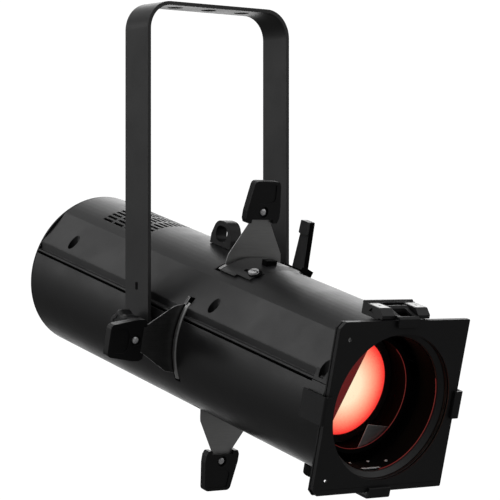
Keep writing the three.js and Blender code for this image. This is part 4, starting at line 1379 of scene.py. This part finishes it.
def make_latch():
    half = LATCH_HALF
    pad = prism(panel(-half, half, 267, 292, 1.0, 2), 86.6, 88.4, along_up)
    bar = prism(panel(267, 270.6, 87, 100, [0.3, 0.3, 1.2, 1.2], 3), -half, half, along_across)
    shelf = prism(rectangle(270, 273.0, 97.2, 98.6), -half, half, along_across)
    wings = []
    for side in (-1, 1):
        outline = [(270, 88.2), (297.3, 88.2), (297.3, 92.0), (291.5, 98.0), (270, 98.0)]
        wing = prism(soften(outline, [0, 0.8, 1.0, 1.5, 0], 3), 15.4, half, along_across)
        if side < 0:
            bmesh.ops.scale(wing, vec=Vector((-1, 1, 1)), verts=wing.verts)
            bmesh.ops.reverse_faces(wing, faces=wing.faces)
        wings.append(wing)
    bracket = join(pad, bar, shelf, *wings)
    outline = [(276.4, 91.4), (283.6, 91.4), (281, 95.6)]
    notches = [prism(outline, x, x + 2.6, along_across) for x in (-32, 29.4)]
    bracket = rounded(flattened(cut(bracket, *notches)), 0.4, 2, 40)
    piece("fine_latch_bracket", bracket, "barrel", "powder_coat", ["latch_bracket"])
    for side, word in SIDES:
        x = sorted((side * 17.2, side * 29.2))
        pad = prism(panel(*x, 274.4, 290.6, 0.6, 2), 97.8, 98.25, along_up)
        pad = cut(pad, upright_rod(1.6, 97, 99, side * 23.2, 283, 24))
        piece(f"latch_pad_{word}", rounded(pad, 0.12, 1), "barrel", "shutter_steel")

    section = [
        (276.4, 93.2), (277.4, 97.0), (281.5, 97.6), (284.5, 95.4), (296.0, 91.9), (300.4, 91.6),
        (303.4, 90.0), (303.4, 81.0), (301.4, 81.0), (301.4, 88.4), (299.4, 89.6), (295.6, 89.8),
        (283.5, 92.0), (279.0, 90.6),
    ]
    tongue = prism(soften(section, 0.8, 3), -13.4, 13.4, along_across)
    window = prism(panel(-8.5, 8.5, 284.5, 299.0, 1.5, 3), 85, 100, along_up)
    tongue = cut(tongue, window, prism(circle(1.8, 24, *LATCH_PIN), -20, 20, along_across))
    piece("fine_tongue", rounded(tongue, 0.3, 2, 45), "latch", "black_steel", ["latch_tongue"])

    profile = [(0, -28.8), (1.2, -28.8), (1.6, -28.4), (1.6, 28.4), (1.2, 28.8), (0, 28.8)]
    pin = turned(profile, 24, across)
    pin = shifted(pin, s=LATCH_PIN[0], v=LATCH_PIN[1])
    piece("fine_latch_pin", pin, "barrel", "bare_steel", ["latch_pin"])


make_latch()

# ---- rear fittings and focus knob ----


def make_display():
    half, low, high = DISPLAY
    outline = panel(-half + 0.2, half - 0.2, low + 0.2, high - 0.2, 1.0, 3)
    window = rounded(prism(outline, -218.9, -216.2), 0.3, 2)
    piece("fine_window", window, "barrel", "dark_window", ["display_window"])
    bezel = [panel(-half - 2.6, half + 2.6, low - 2.6, high + 2.6, 2.6, 4)]
    bezel.append(panel(-half - 0.1, half + 0.1, low - 0.1, high + 0.1, 1.2, 3))
    bezel = rounded(prism(bezel, -219.4, REAR_FACE), 0.35, 2)
    piece("window_bezel", bezel, "barrel", "black_plastic")


def make_buttons():
    r = BUTTON["radius"]
    top = REAR_FACE - 1.8
    for k, x in enumerate(BUTTON_X):
        profile = [(0, top + 0.5), (2.2, top + 0.25), (3.2, top), (r - 0.3, top + 0.25)]
        profile += [(r, top + 0.8), (r, -217), (5.4, -217), (5.4, -214.5), (0, -214.5)]
        button = shifted(turned(profile, 48), x=x, v=BUTTON["v"])
        name = f"menu_button_{k + 1}"
        piece(f"fine_button_{k + 1}", button, f"button_{k + 1}", "black_plastic", [name])


def flange_outline(x_span, v_span, radius):
    """A rear flange, just inside its CAD node's outline."""
    return panel(x_span[0] + 0.1, x_span[1] - 0.1, v_span[0] + 0.1, v_span[1] - 0.1, radius, 4)


def make_inlet():
    x_span, _, v_span = barrel_box("power_inlet")
    half, middle = INLET["half"], INLET["v"]
    low, high = middle - INLET["half_v"], middle + INLET["half_v"]
    opening = frame_outline(half - 2.4, low + 2.4, high - 2.4, 0.1, 0.1)
    opening = soften(opening, 0.6, 2)
    flange = prism([flange_outline(x_span, v_span, 2.2), opening], REAR_END, REAR_FACE - 0.05)
    wall = rectangle(0.3 - half, half - 0.3, low + 0.3, high - 0.3)
    skirt = prism([wall, opening], -219, -196)
    floor = block((0.4 - half, half - 0.4), (-198, -196.1), (low + 0.4, high - 0.4))
    body = rounded(join(flange, skirt, floor), 0.35, 2, 45)
    piece("fine_inlet", body, "barrel", "black_plastic", ["power_inlet"])
    for k, (x, v) in enumerate(((-7, middle - 2), (0, middle + 4), (7, middle - 2))):
        blade = rounded(block((x - 1, x + 1), (-214, -197), (v - 2.4, v + 2.4)), 0.3, 1)
        piece(f"inlet_contact_{k + 1}", blade, "barrel", "bare_steel")


def make_data_sockets():
    for side, word in ((-1, "input"), (1, "output")):
        x_span, _, v_span = barrel_box(f"data_{word}")
        x, v = side * DATA["x"], DATA["v"]
        outline = flange_outline(x_span, v_span, 2.5)
        holes = [circle(1.7, 20, x + i * 9.8, v - i * 12.0) for i in (-1, 1)]
        flange = prism([outline, circle(9.6, 48, x, v), *holes], REAR_END, REAR_FACE - 0.05)
        cup = turned([(9.6, -219), (12.2, -219), (12.2, -197), (0, -197), (0, -200), (9.6, -200)], 64)
        core = turned([(0, -212), (6.8, -212), (7.4, -211.4), (7.4, -198), (0, -198)], 48)
        cup, core = shifted(cup, x=x, v=v), shifted(core, x=x, v=v)
        tab = rounded(block((x - 2.5, x + 2.5), (-219.8, -214), (v + 8.2, v + 10.4)), 0.3, 1)
        body = together(rounded(join(flange, cup), 0.35, 2, 45), core, tab)
        piece(f"fine_data_{word}", body, "barrel", "black_plastic", [f"data_{word}"])
        pins = [turned([(0, -213), (0.7, -213), (0.7, -211), (0, -211)], 16) for _ in range(5)]
        for k, pin in enumerate(pins):
            dx, dv = polar(4.4, 90 + 45 * k)
            shifted(pin, x=x + dx, v=v + dv)
        piece(f"data_pins_{word}", together(*pins), "barrel", "bare_steel")


def make_focus_knob():
    spans = barrel_box("focus_knob")
    station = sum(spans[1]) / 2
    low, high = spans[2]
    radius = (spans[0][1] - spans[0][0]) / 2 - 0.2
    teeth = []
    for k in range(144):
        t = 2 * math.pi * k / 144
        r = radius - 0.45 * (1 + math.cos(36 * t))
        teeth.append((r * math.cos(t), r * math.sin(t)))
    bottom, top = -87.6, low + 0.1
    levels = [(0.93, bottom), (1.0, bottom - 0.8), (1.0, top + 1.6), (0.95, top + 0.4), (0.88, top)]
    levels += [(0.6, top), (0.55, top + 0.6), (0.2, top + 0.6)]
    grip = lofted(teeth, levels, along_up)
    stem = upright_rod(3.8, bottom - 0.5, high - 0.1, 0, 0, 32)
    knob = shifted(join(grip, stem), s=station)
    piece("fine_focus_knob", knob, "focus_knob", "black_plastic", ["focus_knob"], smooth=30)


make_display()
make_buttons()
make_inlet()
make_data_sockets()
make_focus_knob()

# ---- scene ----

FLOOR_Z = -0.75
FLOOR_RADIUS = 1.7
DOME_RADIUS = 9.0


def plain(name, grey, emission):
    """A matt material for the floor and the backdrop."""
    material = bpy.data.materials.new(name)
    material.use_nodes = True
    shader = material.node_tree.nodes["Principled BSDF"]
    shader.inputs["Base Color"].default_value = (grey, grey, grey, 1.0)
    shader.inputs["Roughness"].default_value = 0.9
    shader.inputs["Emission Color"].default_value = (1.0, 1.0, 1.0, 1.0)
    shader.inputs["Emission Strength"].default_value = emission
    return material


def make_stage():
    disc = bmesh.new()
    disc.faces.new([disc.verts.new((x, y, FLOOR_Z)) for x, y in circle(FLOOR_RADIUS, 96)])
    floor = placed("floor", meshed("floor", disc))
    floor.data.materials.append(plain("floor", 0.8, 0.35))
    dome = bmesh.new()
    bmesh.ops.create_icosphere(dome, subdivisions=3, radius=DOME_RADIUS)
    backdrop = placed("backdrop", meshed("backdrop", dome))
    backdrop.data.materials.append(plain("backdrop", 0.0, 1.05))
    for obj in (floor, backdrop):
        obj.visible_diffuse = False
        obj.visible_glossy = False
        obj.visible_shadow = False


# Soft boxes as (azimuth from +Y towards +X, elevation, half angle, soft edge, strength).
SOFT_BOXES = [
    (40.0, 8.0, 24.0, 16.0, 2.4),
    (34.0, 36.0, 12.0, 16.0, 0.9),
    (-31.0, 47.0, 9.0, 9.0, 1.95),
    (-40.0, 1.0, 12.0, 12.0, 0.22),
    (-43.0, 15.0, 6.0, 8.0, 2.1),
    (140.0, 30.0, 18.0, 18.0, 0.7),
    (-120.0, 62.0, 16.0, 24.0, 1.1),
]
SKY = 0.26
GROUND = 0.14


def make_world():
    world = bpy.data.worlds.new("studio")
    bpy.context.scene.world = world
    world.use_nodes = True
    tree = world.node_tree
    tree.nodes.clear()
    place = tree.nodes.new("ShaderNodeTexCoord").outputs["Generated"]
    split = tree.nodes.new("ShaderNodeSeparateXYZ")
    tree.links.new(place, split.inputs[0])
    height = tree.nodes.new("ShaderNodeMapRange")
    height.interpolation_type = "SMOOTHSTEP"
    for name, value in (("From Min", -0.2), ("From Max", 0.2), ("To Min", GROUND), ("To Max", SKY)):
        height.inputs[name].default_value = value
    tree.links.new(split.outputs["Z"], height.inputs["Value"])
    total = height.outputs["Result"]
    for azimuth, elevation, half, edge, strength in SOFT_BOXES:
        az, el = math.radians(azimuth), math.radians(elevation)
        towards = (math.sin(az) * math.cos(el), math.cos(az) * math.cos(el), math.sin(el))
        dot = tree.nodes.new("ShaderNodeVectorMath")
        dot.operation = "DOT_PRODUCT"
        dot.inputs[1].default_value = towards
        tree.links.new(place, dot.inputs[0])
        ramp = tree.nodes.new("ShaderNodeMapRange")
        ramp.interpolation_type = "SMOOTHSTEP"
        ramp.inputs["From Min"].default_value = math.cos(math.radians(half + edge))
        ramp.inputs["From Max"].default_value = math.cos(math.radians(max(half - edge / 2, 0)))
        ramp.inputs["To Max"].default_value = strength
        tree.links.new(dot.outputs["Value"], ramp.inputs["Value"])
        add = tree.nodes.new("ShaderNodeMath")
        tree.links.new(total, add.inputs[0])
        tree.links.new(ramp.outputs["Result"], add.inputs[1])
        total = add.outputs[0]
    background = tree.nodes.new("ShaderNodeBackground")
    tree.links.new(total, background.inputs["Strength"])
    output = tree.nodes.new("ShaderNodeOutputWorld")
    tree.links.new(background.outputs[0], output.inputs["Surface"])
    bpy.context.scene.view_settings.view_transform = "Standard"


make_stage()
make_world()

# ---- CAD nodes that show as they are ----

SLOT_OF = {}
for part in frame["record"]["subparts"]:
    SLOT_OF[part["node"]] = part["material_slot"]


def dress_cad_nodes():
    for name, obj in frame["nodes"].items():
        obj.data.materials.clear()
        obj.data.materials.append(MATERIALS[SLOT_OF[name]])


dress_cad_nodes()
